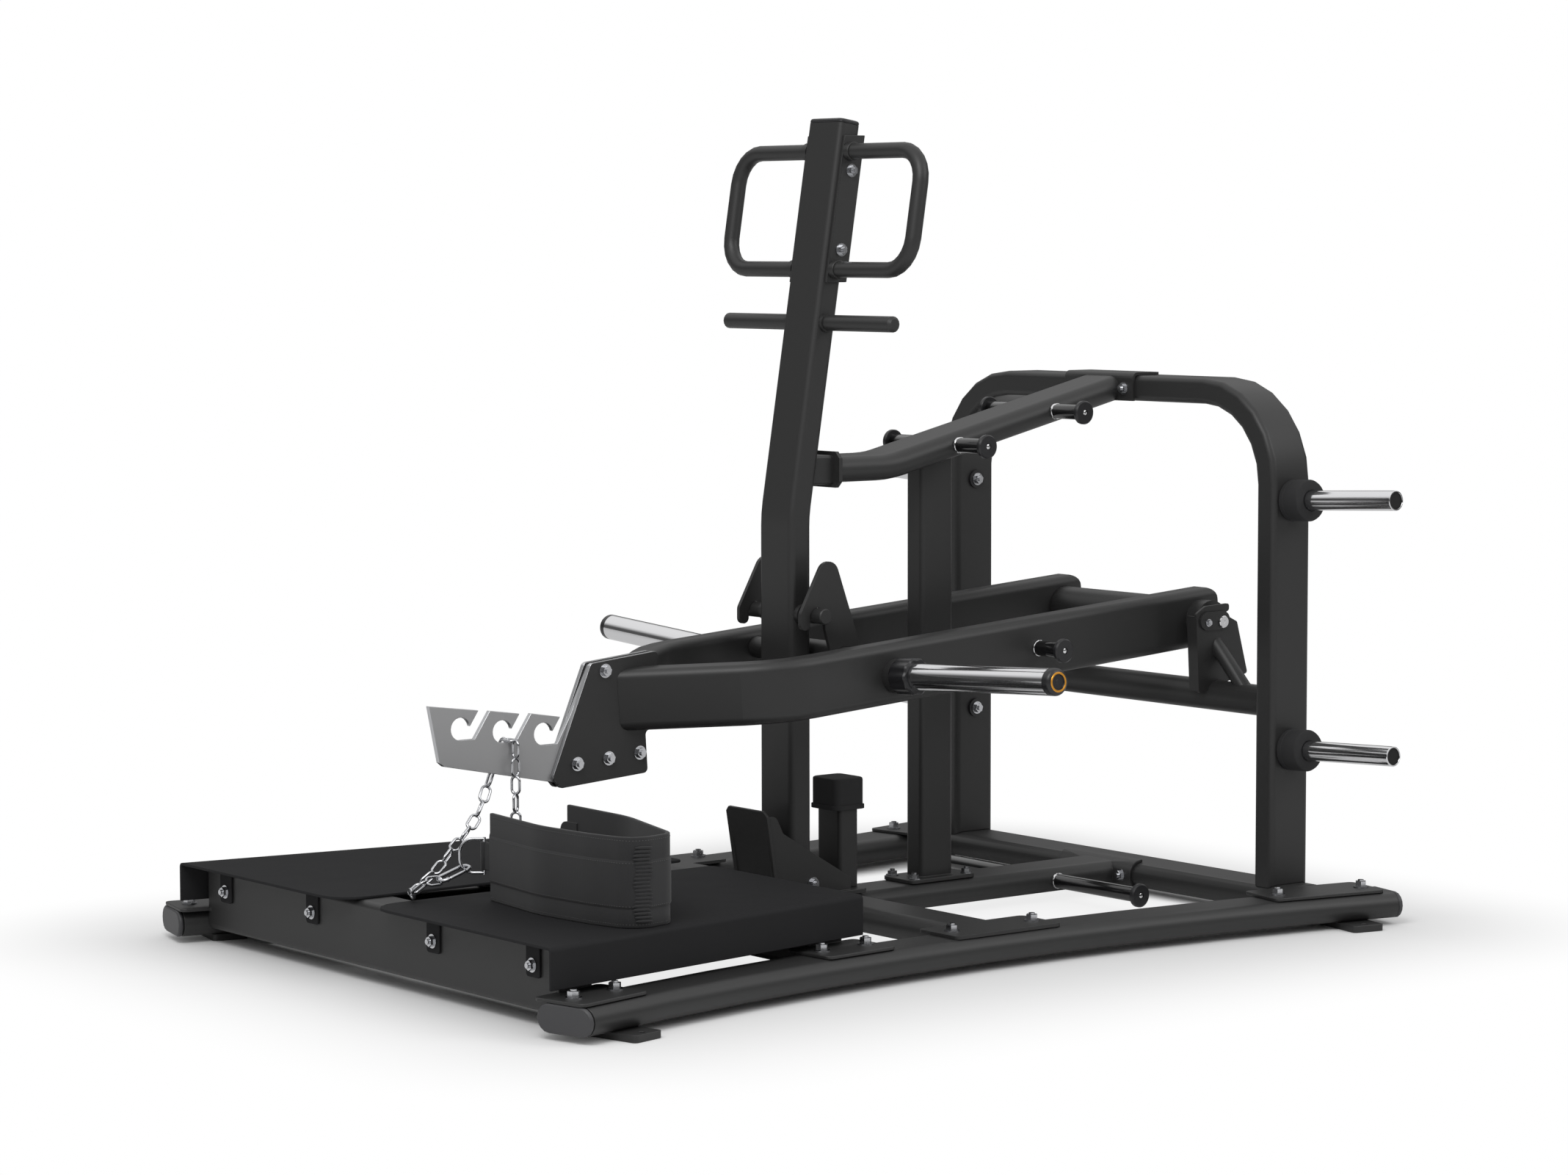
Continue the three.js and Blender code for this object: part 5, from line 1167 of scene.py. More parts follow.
@dataclass
class BarTrim:
    """Small turned trim: stub collars under the handle loops and the bright ends of the pivot shafts."""

    mast_y: float = 964.0
    knee_z: float = 793.0
    lean: float = 0.1637
    plate_x: float = 56.5
    loop_heights: Pair = (1473.8, 1252.9)
    collar_radius: float = 17.6
    collar_length: float = 14.0
    collar_round: float = 1.0
    shaft_x: float = 294.3
    shaft_radius: float = 12.0
    shaft_length: float = 4.2
    shaft_chamfer: float = 1.2
    dimple_radius: float = 3.0
    dimple_depth: float = 1.0
    sides: int = 40

    def collars(self) -> bpy.types.Mesh:
        """Draw the collars where the loops meet their plates.

        Returns:
            The mesh.
        """
        radius, length, rounding = self.collar_radius, self.collar_length, self.collar_round
        parts = []
        for z in self.loop_heights:
            y = self.mast_y + self.lean * (z - self.knee_z)
            for side in SIDES.values():
                collar = turned([
                    (0, 0), (radius, 0), (radius, length - rounding), (radius - rounding, length),
                    (0, length),
                ], sides=self.sides)
                parts.append((on_side(collar, side, place(self.plate_x, y, z)), 0))
        return join_meshes(parts, "handle_collars")

    def shaft_ends(self) -> bpy.types.Mesh:
        """Draw the turned ends of the pivot shafts.

        Returns:
            The mesh.
        """
        radius, length, chamfer = self.shaft_radius, self.shaft_length, self.shaft_chamfer
        dimple, bottom = self.dimple_radius, length - self.dimple_depth
        parts = []
        for side in SIDES.values():
            end = turned([
                (0, 0), (radius, 0), (radius, length - chamfer), (radius - chamfer, length),
                (dimple, length), (dimple - self.dimple_depth, bottom), (0, bottom),
            ], sides=self.sides)
            parts.append((on_side(end, side, place(self.shaft_x, *PIVOT_AXIS)), 0))
        return join_meshes(parts, "pivot_shaft_ends")

    def build(self) -> None:
        """Make the collars and the shaft ends."""
        settle(new_piece("handle_collars", self.collars()), POWDER_COAT, Body.FRAME, Slot.POWDER)
        settle(new_piece("pivot_shaft_ends", self.shaft_ends()), CHROME, Body.FRAME, Slot.CHROME)


@dataclass(frozen=True)
class PegRow:
    """One pair of pegs: node prefix, body, wall that carries it, distance from the front and reach."""

    prefix: str
    body: Body
    wall_x: float
    y: float
    reach: float


@dataclass
class Pegs:
    """Turned pegs: enamelled shaft, bright ring at the root, matte disc with a screw."""

    rows: tuple[PegRow, ...] = (
        PegRow("brace_peg_front", Body.FRAME, TUBE_SIDE_X, 1342.8, 86.5),
        PegRow("brace_peg_rear", Body.FRAME, TUBE_SIDE_X, 1590.6, 86.5),
        PegRow("arm_peg", Body.LEVER, LEVER_SIDE_X, 1396.0, 77.0),
        PegRow("base_peg", Body.FRAME, TUBE_SIDE_X, 1600.0, 243.0),
    )
    seat: float = 1.0
    shaft_radius: float = 14.5
    neck_length: float = 5.0
    neck_cut: float = 2.0
    shaft_lap: float = 1.0
    shaft_sides: int = 48
    ring_rise: float = 1.2
    ring_to: float = 5.0
    ring_round: float = 0.8
    disc_radius: float = 23.0
    disc_length: float = 10.0
    back_round: float = 1.5
    face_round: float = 2.5
    bore_radius: float = 6.5
    bore_taper: float = 0.3
    bore_depth: float = 1.4
    disc_sides: int = 56
    screw_radius: float = 4.6
    screw_sunk: float = 2.0
    screw_round: Pair = (1.0, 0.6)
    screw_sides: int = 24

    def peg(self, side: int, root: Vector, reach: float) -> bpy.types.Mesh:
        """Draw one peg.

        Args:
            side: 1 for the right side and -1 for the left.
            root: the right side's root in metres.
            reach: length from the wall in millimetres.

        Returns:
            The mesh, with enamel, chrome and plastic as its materials.
        """
        shaft_radius, seat, disc = self.shaft_radius, self.seat, reach - self.disc_length
        shaft_end = disc + self.shaft_lap
        shaft = turned([
            (0, seat), (shaft_radius, seat), (shaft_radius, disc - self.neck_length),
            (shaft_radius - self.neck_cut, shaft_end), (0, shaft_end),
        ], sides=self.shaft_sides)
        rim = shaft_radius + self.ring_rise
        ring = turned([
            (0, seat), (rim, seat), (rim, self.ring_to - self.ring_round),
            (rim - self.ring_round, self.ring_to), (0, self.ring_to),
        ], sides=self.shaft_sides)
        radius, bottom = self.disc_radius, reach - self.bore_depth
        head = turned([
            (0, disc), (radius - self.back_round, disc), (radius, disc + self.back_round),
            (radius, reach - self.face_round), (radius - self.face_round, reach), (self.bore_radius, reach),
            (self.bore_radius - self.bore_taper, bottom), (0, bottom),
        ], sides=self.disc_sides)
        screw_radius, sunk = self.screw_radius, reach - self.screw_sunk
        screw = turned([
            (0, sunk), (screw_radius, sunk), (screw_radius, reach - self.screw_round[1]),
            (screw_radius - self.screw_round[0], reach), (0, reach),
        ], sides=self.screw_sides)
        numbered = ((shaft, 0), (ring, 1), (head, 2), (screw, 1))
        return join_meshes([(on_side(bm, side, root), number) for bm, number in numbered], "peg")

    def build(self) -> None:
        """Make the four pairs, each at its node's height."""
        for row in self.rows:
            for name, side in SIDES.items():
                low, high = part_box(f"{row.prefix}_{name}")
                root = place(row.wall_x, row.y, 0)
                root.z = (low.z + high.z) / 2
                mesh = coat(self.peg(side, root, row.reach), GLOSS_ENAMEL, CHROME, DARK_PLASTIC)
                piece = new_piece(f"{row.prefix}_turned_{name}", mesh)
                settle(piece, GLOSS_ENAMEL, row.body, Slot.GLOSS, f"{row.prefix}_{name}")


# Fasteners


@dataclass
class Fasteners:
    """Zinc bolts that hold the machine together."""

    rail_waist: Pair = (515.0, 1021.0)
    rail_bow: float = 4150.0
    flange_top: float = 68.3
    flange_inset: float = 8.0
    flange_rows: tuple[float, ...] = (31.7, 131.5, 634.0, 739.0, 947.0, 1137.0)
    flange_turn: Triple = (1, 0.2, 0)
    rear_flange_bolts: tuple[Pair, ...] = ((572.5, 1701.0), (605.5, 1891.6))
    rear_flange_turn: Triple = (1, 0.3, 0)
    tab_columns: Pair = (197.9, 500.8)
    tab_face: Pair = (36.7, 106.0)
    wrap_bolt: Triple = (73.6, 1758.0, 1013.7)
    saddle_bolt: Triple = (82.0, 1748.2, 43.3)
    handle_plate_x: float = 56.3
    handle_bolts: tuple[Pair, ...] = ((1079.0, 1438.0), (1054.0, 1290.0))
    gusset_bolt: Triple = (56.6, 985.0, 97.0)
    post_plate_top: float = 76.6
    post_bolt_x: float = 33.0
    post_rows: Pair = (1253.0, 1385.0)
    arch_inner_x: float = 441.0
    keeper_screw: Triple = (294.0, 1783.0, PIVOT_AXIS[1])
    cheek_x: float = 15.0
    cheek_places: tuple[Pair, ...] = ((535.0, 527.0), (472.0, 361.0), (542.0, 366.0), (612.0, 371.0))
    tipped: Triple = (0, 0.3, 1)
    pad_mm: float = 5.0

    def rail_x(self, y: float) -> float:
        """Give the rail's centre line at a distance from the front.

        Args:
            y: millimetres behind the platform's front edge.

        Returns:
            Millimetres from the middle plane.
        """
        waist_x, waist_y = self.rail_waist
        angle = math.asin((y - waist_y) / self.rail_bow)
        return waist_x + self.rail_bow * (1 - math.cos(angle))

    def base_bolts(self) -> list[Spot]:
        """List the bolts of the flange plates on both rails.

        Returns:
            One spot for each bolt.
        """
        spots = []
        for y in self.flange_rows:
            x = self.rail_x(y) - self.flange_inset
            for side in SIDES.values():
                spots.append(Spot(place(side * x, y, self.flange_top), UP, Vector(self.flange_turn)))
        for x, y in self.rear_flange_bolts:
            for side in SIDES.values():
                spots.append(Spot(place(side * x, y, self.flange_top), UP, Vector(self.rear_flange_turn)))
        return spots

    def small_bolts(self) -> list[Spot]:
        """List the smaller bolts of the frame's plates.

        Returns:
            One spot for each bolt.
        """
        spots = []
        for side in SIDES.values():
            for x in self.tab_columns:
                spots.append(Spot(place(side * x, *self.tab_face), FORWARD, UP))
            for x, y, z in (self.wrap_bolt, self.saddle_bolt):
                spots.append(Spot(place(side * x, y, z), FORWARD, UP))
            for y, z in self.handle_bolts:
                spots.append(Spot(place(side * self.handle_plate_x, y, z), RIGHT * side, UP))
            x, y, z = self.gusset_bolt
            spots.append(Spot(place(side * x, y, z), RIGHT * side, UP))
            for y in self.post_rows:
                spots.append(Spot(place(side * self.post_bolt_x, y, self.post_plate_top), UP, RIGHT))
        return spots

    def sleeve_bolts(self, lift: float) -> list[Spot]:
        """List the bolts that hold the storage sleeves, on the arch's inner faces.

        Args:
            lift: distance off the face in millimetres.

        Returns:
            One spot for each bolt.
        """
        spots = []
        for side in SIDES.values():
            for z in STORAGE_HEIGHTS.values():
                at = place(side * (self.arch_inner_x - lift), ARCH_Y, z)
                spots.append(Spot(at, RIGHT * -side, Vector(self.tipped)))
        return spots

    def keeper_screws(self) -> list[Spot]:
        """List the screws of the plates that keep the pivot shafts.

        Returns:
            One spot for each screw.
        """
        x, y, z = self.keeper_screw
        return [Spot(place(side * x, y, z), RIGHT * side, UP) for side in SIDES.values()]

    def cheek_bolts(self) -> list[Spot]:
        """List the bolts through the cheek plates of the hook tray.

        Returns:
            One spot for each bolt.
        """
        spots = []
        for y, z in self.cheek_places:
            for side in SIDES.values():
                spots.append(Spot(place(side * self.cheek_x, y, z), RIGHT * side, Vector(self.tipped)))
        return spots

    def build(self) -> None:
        """Make the bolts, one piece for each body and size."""
        large = HexBolt("hex_bolt_m12")
        small = HexBolt("hex_bolt_m8", flats_mm=16, head_mm=7, washer_mm=25, washer_thick_mm=2, stud_mm=8)
        middle = HexBolt("hex_bolt_m10", flats_mm=17, head_mm=7, washer_mm=26, washer_thick_mm=2, stud_mm=8)
        pad = HexBolt(
            "round_pad", flats_mm=20, head_mm=1, washer_mm=38, washer_thick_mm=self.pad_mm, stud_mm=1,
        )
        screw = HexBolt(
            "keeper_screw", flats_mm=10, head_mm=4, washer_mm=15, washer_thick_mm=1.5, stud_mm=4,
        )
        for bolt, name, spots, finish, body, slot in (
            (large, "flange_bolts", self.base_bolts(), ZINC, Body.FRAME, Slot.ZINC),
            (small, "plate_bolts", self.small_bolts(), ZINC, Body.FRAME, Slot.ZINC),
            (middle, "sleeve_bolts", self.sleeve_bolts(self.pad_mm), ZINC, Body.FRAME, Slot.ZINC),
            (pad, "sleeve_pads", self.sleeve_bolts(0), DARK_PLASTIC, Body.FRAME, Slot.PLASTIC),
            (screw, "keeper_screws", self.keeper_screws(), ZINC, Body.FRAME, Slot.ZINC),
            (middle, "cheek_bolts", self.cheek_bolts(), ZINC, Body.LEVER, Slot.ZINC),
        ):
            settle(bolt.make(name, spots, finish), finish, body, slot)


# Chain, rings and spring hook


@dataclass
class ChainWork:
    """Welded chain over the middle notch, the rings and the spring hook."""

    saddle: Triple = (0.0, 334.5, 413.4)
    rear_joints: tuple[Triple, ...] = (
        (18, 334.5, 415), (18, 334.5, 382.6), (18, 334.5, 350.1), (18, 334.4, 317.7), (18, 334.5, 285.2),
        (17.1, 334.7, 252.8), (19, 336, 220.4), (24.2, 338.3, 188.5), (54, 350.9, 186),
        (75.9, 359.6, 208.7),
    )
    front_joints: tuple[Triple, ...] = (
        (-18, 334.5, 415), (-21.5, 323.8, 386.1), (-22.5, 311.4, 357.6), (-16.8, 296.6, 330.9),
        (-7.9, 280.4, 305.9), (1.6, 261.8, 282.9), (10.8, 239.5, 263.5), (20.2, 214.8, 247.1),
        (29.2, 189.7, 231.2), (37.7, 165.5, 213.6), (44.5, 141.2, 195.6), (40.6, 116.1, 177.7),
        (47.5, 89.5, 163.2), (74.8, 76.7, 170.5), (89.2, 95.9, 190.1), (90.8, 126.9, 190.5),
    )
    rear_last: Triple = (0.551, -0.805, -0.221)
    front_last: Triple = (-0.343, 0.006, 0.939)
    ring_bars: dict[str, Pair] = field(default_factory=lambda: {"front": (112, 203), "rear": (107, 372)})
    ring_turns: dict[str, float] = field(default_factory=lambda: {"front": 4.066, "rear": 3.52})
    ring_height: float = 66.0
    ring_depth: float = 49.0
    ring_wire: float = 5.5
    ring_corner: float = 24.0
    ring_step_degrees: float = 6.0
    ring_sides: int = 16
    hook_head: Triple = (93.1, 181.0, 210.0)
    hook_tail: Triple = (90.6, 122.0, 190.5)
    hook_roll: float = 0.1
    hook_width: float = 32.0
    hook_wire: float = 7.0
    hook_step_degrees: float = 8.0
    hook_sides: int = 20
    rivet_behind: float = 3.2
    rivet_reach: float = 4.4
    rivet_radius: float = 1.6
    gate_length: float = 36.0
    gate_slack: float = 0.4
    gate_end_steps: int = 6
    gate_sides: int = 24

    def widths(self, headings: list[Vector], twist: float) -> list[Vector]:
        """Carry a link's width direction down a strand, a quarter turn a link.

        Args:
            headings: directions of the links.
            twist: radians added to each quarter turn.

        Returns:
            The width direction of each link.
        """
        found = []
        width = RIGHT
        for heading in headings:
            width = (width - heading * width.dot(heading)).normalized()
            found.append(width)
            width = Matrix.Rotation(math.pi / 2 + twist, 3, heading) @ width
        return found

    def strand(self, joints: tuple[Triple, ...], last: Triple) -> list[Spot]:
        """Set a link between every two joints, each a quarter turn from the one before.

        Args:
            joints: touching points of the links, in millimetres.
            last: width direction wanted at the far end.

        Returns:
            One spot for each link, X along the link.
        """
        points = [place(*joint) for joint in joints]
        headings = [(b - a).normalized() for a, b in zip(points, points[1:])]
        end = headings[-1]
        plain = self.widths(headings, 0)[-1]
        aim = Vector(last)
        wanted = (aim - end * aim.dot(end)).normalized()
        turn = math.atan2(end.dot(plain.cross(wanted)), plain.dot(wanted))
        turn -= math.pi * round(turn / math.pi)
        widths = self.widths(headings, turn / (len(headings) - 1))
        spots = []
        for a, b, heading, width in zip(points, points[1:], headings, widths):
            spots.append(Spot((a + b) / 2, heading.cross(width), heading))
        return spots

    def chain(self) -> None:
        """Make the chain: the link across the notch and the strand on each side of it."""
        rear = self.strand(self.rear_joints, self.rear_last)
        front = self.strand(self.front_joints, self.front_last)
        spots = [Spot(place(*self.saddle), UP, RIGHT), *rear, *front]
        piece = ChainLink("chain_link").make("welded_chain", spots, ZINC)
        settle(piece, ZINC, Body.LEVER, Slot.ZINC, "chain")

    def ring(self, name: str) -> None:
        """Make one ring: a straight bar and a round side.

        Args:
            name: end of the belt that it hangs on.
        """
        x, y = self.ring_bars[name]
        turn = self.ring_turns[name]
        radius, sides = self.ring_wire / 2, self.ring_sides
        half = self.ring_height / 2 - radius
        out = self.ring_depth - self.ring_wire
        heading = Vector((math.cos(turn), math.sin(turn), 0))

        def at(along: float, up: float) -> Vector:
            """Give a point of the ring's plane, from the middle of the bar."""
            return place(x, y, LOOP_Z + up) + heading * along * MM

        corners = [at(0, half), at(out, half), at(out, -half), at(0, -half)]
        bow = swept(rounded_route(corners, self.ring_corner, self.ring_step_degrees), radius, sides)
        bar = swept([at(0, -half - radius), at(0, half + radius)], radius, sides)
        mesh = join_meshes([(bow, 0), (bar, 0)], f"belt_ring_{name}")
        settle(new_piece(f"bent_ring_{name}", mesh), ZINC, Body.LEVER, Slot.ZINC, f"belt_ring_{name}")

    def gate_bar(self, radius: float, half: float) -> bmesh.types.BMesh:
        """Draw the gate along X: a bar with a round end each way.

        Args:
            radius: radius of the bar in millimetres.
            half: half its length in millimetres.

        Returns:
            A closed mesh in metres.
        """
        near = []
        for step in range(self.gate_end_steps + 1):
            angle = math.pi / 2 * step / self.gate_end_steps
            near.append((radius * math.sin(angle), radius * (1 - math.cos(angle)) - half))
        far = [(r, -x) for r, x in reversed(near)]
        return turned(near + far, sides=self.gate_sides)

    def hook(self) -> None:
        """Make the spring hook, its gate and the rivet that the gate turns on."""
        head, tail = place(*self.hook_head), place(*self.hook_tail)
        along = (head - tail).normalized()
        side = Matrix.Rotation(self.hook_roll, 3, along) @ along.cross(UP).normalized()
        normal = along.cross(side)
        middle = (head + tail) / 2
        half = (head - tail).length / MM / 2
        radius = self.hook_wire / 2
        wide = self.hook_width / 2 - radius
        gate_half = self.gate_length / 2

        def at(x: float, y: float) -> Vector:
            """Give a point of the hook's plane, from its middle."""
            return middle + (along * x + side * y) * MM

        corners = [
            at(-gate_half, wide), at(-half, wide), at(-half, -wide), at(half, -wide), at(half, wide),
            at(gate_half, wide),
        ]
        bend = wide - radius / 4
        bar = swept(rounded_route(corners, bend, self.hook_step_degrees), radius, self.hook_sides)
        rivet_at, reach = at(-gate_half - self.rivet_behind, wide), normal * self.rivet_reach * MM
        rivet = swept([rivet_at - reach, rivet_at + reach], self.rivet_radius, self.ring_sides)
        mesh = join_meshes([(bar, 0), (rivet, 0)], "spring_hook")
        settle(new_piece("snap_hook_body", mesh), ZINC, Body.LEVER, Slot.ZINC, "spring_hook")
        gate = self.gate_bar(radius - self.gate_slack, gate_half - self.gate_slack)
        basis = Matrix((along, side, normal)).transposed().to_4x4()
        gate.transform(Matrix.Translation(at(0, wide)) @ basis)
        settle(new_piece("snap_hook_gate", to_mesh(gate, "gate")), ZINC, Body.GATE, Slot.ZINC, "hook_gate")

    def build(self) -> None:
        """Make chain, rings and hook."""
        self.chain()
        for name in self.ring_bars:
            self.ring(name)
        self.hook()


# Belt


@dataclass
class WaistBelt:
    """Stiff layered belt that stands on its edge on the platform, with a raised middle band."""

    bottom: float = 152.5
    height: float = 155.0
    thickness: float = 9.0
    bend_radius: float = 40.0
    gentle_radius: float = 300.0
    bend_step_degrees: float = 2.0
    route_step: float = 8.0
    corners: tuple[Pair, ...] = (
        (136, 203), (318, 180), (452, 192), (546, 216), (528, 305), (315, 367), (131, 372),
    )
    band_low: float = 33.0
    band_high: float = 115.0
    band_rise: float = 2.2
    # Each profile lists pairs of distance from the face and distance from the edge or the seam
    edge_profile: tuple[Pair, ...] = ((-2.4, 0.0), (-1.0, 0.9), (-0.6, 2.4))
    seam_profile: tuple[Pair, ...] = ((-0.6, -1.2), (-0.9, -0.4), (-0.6, 0.4))
    band_profile: tuple[Pair, ...] = ((-1.4, 1.6), (-1.1, 5.0))
    band_crown: float = -1.0
    lining_profile: tuple[Pair, ...] = ((2.4, 0.0), (0.9, 0.8), (0.4, 2.4))
    roll_radius: float = 7.0
    roll_half: float = 25.0
    roll_round: Pair = (0.8, 1.0)
    roll_out: float = 24.0
    roll_sides: int = 28
    strap_size: Triple = (32.0, 6.8, 49.0)
    strap_out: float = 6.0
    strap_round: float = 1.2
    tab_z: float = 238.0
    tab_height: float = 80.0
    tab_thickness: float = 3.5
    tab_round: float = 17.0
    tab_front: float = -16.0
    tab_back: float = 34.0
    tab_gap: float = 0.2
    tab_steps: int = 8
    edge_seam: float = 6.0
    band_seam: float = 4.0
    edge_thread: float = -0.55
    band_thread: float = -1.15
    stitch_from: float = 4.0
    stitch_pitch: float = 5.2
    fold_from: float = 12.0
    fold_pitch: float = 6.6
    fold_sunk: float = 2.2
    fold_sway: float = 2.4
    fold_wave: float = 7.0
    fold_shift: int = 9
    fold_corner: int = 3
    sharp_degrees: float = 50.0

    def route(self) -> list[Vector]:
        """Give the middle line of the belt at floor height.

        Returns:
            Points in metres, from the front end to the rear end.
        """
        corners = [place(x, y, 0) for x, y in self.corners]
        rounded = rounded_route(corners, self.bend_radius, self.bend_step_degrees, self.gentle_radius)
        dense = [rounded[0]]
        for a, b in zip(rounded, rounded[1:]):
            count = max(1, math.ceil((b - a).length / (self.route_step * MM)))
            dense += [a + (b - a) * k / count for k in range(1, count + 1)]
        return dense

    def outward(self, route: list[Vector], i: int) -> Vector:
        """Give the direction out of the belt's loop at one point of its route.

        Args:
            route: points of the middle line.
            i: number of the point.

        Returns:
            A level unit vector.
        """
        before, after = route[max(i - 1, 0)], route[min(i + 1, len(route) - 1)]
        tangent = (after - before).normalized()
        return Vector((tangent.y, -tangent.x, 0))

    def raised(self, point: Vector, out: Vector, distance: float, z: float) -> Vector:
        """Move a point of the route outward and up the belt, by millimetres."""
        return point + out * distance * MM + UP * ((self.bottom + z) * MM)

    def section(self) -> list[Pair]:
        """Give the belt's section.

        Returns:
            Pairs of distance outward and height, round the outline.
        """
        face, lining, top = self.thickness / 2, -self.thickness / 2, self.height
        low, high, crown = self.band_low, self.band_high, self.thickness / 2 + self.band_rise
        rising = [(face + d, z) for d, z in self.edge_profile]
        rising += [(face + d, low + z) for d, z in self.seam_profile]
        rising += [(crown + d, low + z) for d, z in self.band_profile]
        falling = [(crown + d, high - z) for d, z in reversed(self.band_profile)]
        falling += [(face + d, high - z) for d, z in reversed(self.seam_profile)]
        falling += [(face + d, top - z) for d, z in reversed(self.edge_profile)]
        inner = [(lining + d, top - z) for d, z in self.lining_profile]
        inner += [(lining + self.lining_profile[-1][0], top / 2)]
        inner += [(lining + d, z) for d, z in reversed(self.lining_profile)]
        return [*rising, (crown + self.band_crown, (low + high) / 2), *falling, *inner]

    def band(self) -> bmesh.types.BMesh:
        """Draw the belt with a UV map in metres.

        Returns:
            A closed mesh in metres.
        """
        bm = bmesh.new()
        uv = bm.loops.layers.uv.new("UVMap")
        route, section = self.route(), self.section()
        around = [0.0]
        for a, b in zip(section, section[1:] + section[:1]):
            around.append(around[-1] + math.dist(a, b) * MM)
        length, rings, lengths = 0.0, [], []
        for i, point in enumerate(route):
            length += (point - route[i - 1]).length if i else 0.0
            lengths.append(length)
            out = self.outward(route, i)
            rings.append([bm.verts.new(self.raised(point, out, d, z)) for d, z in section])
        count = len(section)
        for i in range(len(rings) - 1):
            for k in range(count):
                j = (k + 1) % count
                face = bm.faces.new((rings[i][k], rings[i + 1][k], rings[i + 1][j], rings[i][j]))
                for loop, (u, v) in zip(face.loops, (
                    (lengths[i], around[k]), (lengths[i + 1], around[k]),
                    (lengths[i + 1], around[k + 1]), (lengths[i], around[k + 1]),
                )):
                    loop[uv].uv = (u, v)
        bm.faces.new(list(reversed(rings[0])))
        bm.faces.new(rings[-1])
        bmesh.ops.recalc_face_normals(bm, faces=bm.faces)
        return bm

    def ring_loop(self, x: float, y: float) -> list[bmesh.types.BMesh]:
        """Draw the sewn loop that holds a ring: the roll round its bar and the strap behind it.

        Args:
            x: end of the belt in millimetres.
            y: middle of the belt there in millimetres.

        Returns:
            Two closed meshes in metres.
        """
        radius, half = self.roll_radius, self.roll_half
        across, along = self.roll_round
        roll = turned([
            (0, -half), (radius - across, -half), (radius, along - half), (radius, half - along),
            (radius - across, half), (0, half),
        ], sides=self.roll_sides)
        upright = Matrix.Rotation(-math.pi / 2, 4, "Y")
        roll.transform(Matrix.Translation(place(x - self.roll_out, y, LOOP_Z)) @ upright)
        strap = bmesh.new()
        bmesh.ops.create_cube(strap, size=1.0)
        size = Matrix.Diagonal((*(length * MM for length in self.strap_size), 1.0))
        strap.transform(Matrix.Translation(place(x - self.strap_out, y, LOOP_Z)) @ size)
        bmesh.ops.bevel(
            strap, geom=strap.edges[:], offset=self.strap_round * MM, segments=2, affect="EDGES",
        )
        return [roll, strap]

    def end_tab(self, x: float, y: float) -> bmesh.types.BMesh:
        """Draw the rounded tab that backs a ring loop, on the inner face of the belt.

        Args:
            x: end of the belt in millimetres.
            y: near face of the tab in millimetres.

        Returns:
            A closed mesh in metres.
        """
        radius, half = self.tab_round, self.tab_height / 2
        outline = [(self.tab_back, -half), (self.tab_back, half)]
        for centre_z, start in ((half - radius, 90), (radius - half, 180)):
            for step in range(self.tab_steps + 1):
                angle = math.radians(start + 90 * step / self.tab_steps)
                outline.append((
                    self.tab_front + radius + radius * math.cos(angle), centre_z + radius * math.sin(angle),
                ))
        bm = bmesh.new()
        near, far = (
            [bm.verts.new(place(x + a, y + depth, self.tab_z + b)) for a, b in outline]
            for depth in (0, self.tab_thickness)
        )
        bm.faces.new(near)
        bm.faces.new(list(reversed(far)))
        for i in range(len(outline)):
            j = (i + 1) % len(outline)
            bm.faces.new((near[i], far[i], far[j], near[j]))
        bmesh.ops.recalc_face_normals(bm, faces=bm.faces)
        return bm

    def loops(self) -> list[bmesh.types.BMesh]:
        """Draw what is sewn to the two ends to hold the rings.

        Returns:
            Closed meshes in metres.
        """
        (front_x, front_y), (rear_x, rear_y) = self.corners[0], self.corners[-1]
        clear = self.thickness / 2 + self.tab_gap
        return [
            *self.ring_loop(front_x, front_y), *self.ring_loop(rear_x, rear_y),
            self.end_tab(front_x, front_y + clear),
            self.end_tab(rear_x, rear_y - clear - self.tab_thickness),
        ]

    def seams(self) -> list[Spot]:
        """List the stitches along both edges and both sides of the middle band.

        Returns:
            One spot for each stitch.
        """
        edge = self.thickness / 2 + self.edge_thread
        crown = self.thickness / 2 + self.band_rise + self.band_thread
        rows = (
            (self.edge_seam, edge), (self.band_low + self.band_seam, crown),
            (self.band_high - self.band_seam, crown), (self.height - self.edge_seam, edge),
        )
        route = self.route()
        spots = []
        travelled, due = 0.0, self.stitch_from * MM
        for before, after in zip(route, route[1:]):
            step = after - before
            while due <= travelled + step.length:
                point = before + step * ((due - travelled) / step.length)
                heading = step.normalized()
                out = Vector((heading.y, -heading.x, 0))
                for z, reach in rows:
                    spots.append(Spot(self.raised(point, out, reach, z), out, heading))
                due += self.stitch_pitch * MM
            travelled += step.length
        return spots

    def folds(self) -> list[Spot]:
        """List the short folds that are stacked up the belt's right front corner.

        Returns:
            One spot for each fold.
        """
        route = self.route()
        corner = place(*self.corners[self.fold_corner], 0)
        nearest = min(range(len(route)), key=lambda n: (route[n] - corner).length)
        i = nearest + self.fold_shift
        out = self.outward(route, i)
        heading = Vector((-out.y, out.x, 0))
        reach = self.thickness / 2 + self.band_rise - self.fold_sunk
        spots, z = [], self.fold_from
        while z <= self.height - self.fold_from:
            sway = heading * self.fold_sway * math.sin(z / self.fold_wave) * MM
            spots.append(Spot(self.raised(route[i], out, reach, z) + sway, out, heading))
            z += self.fold_pitch
        return spots

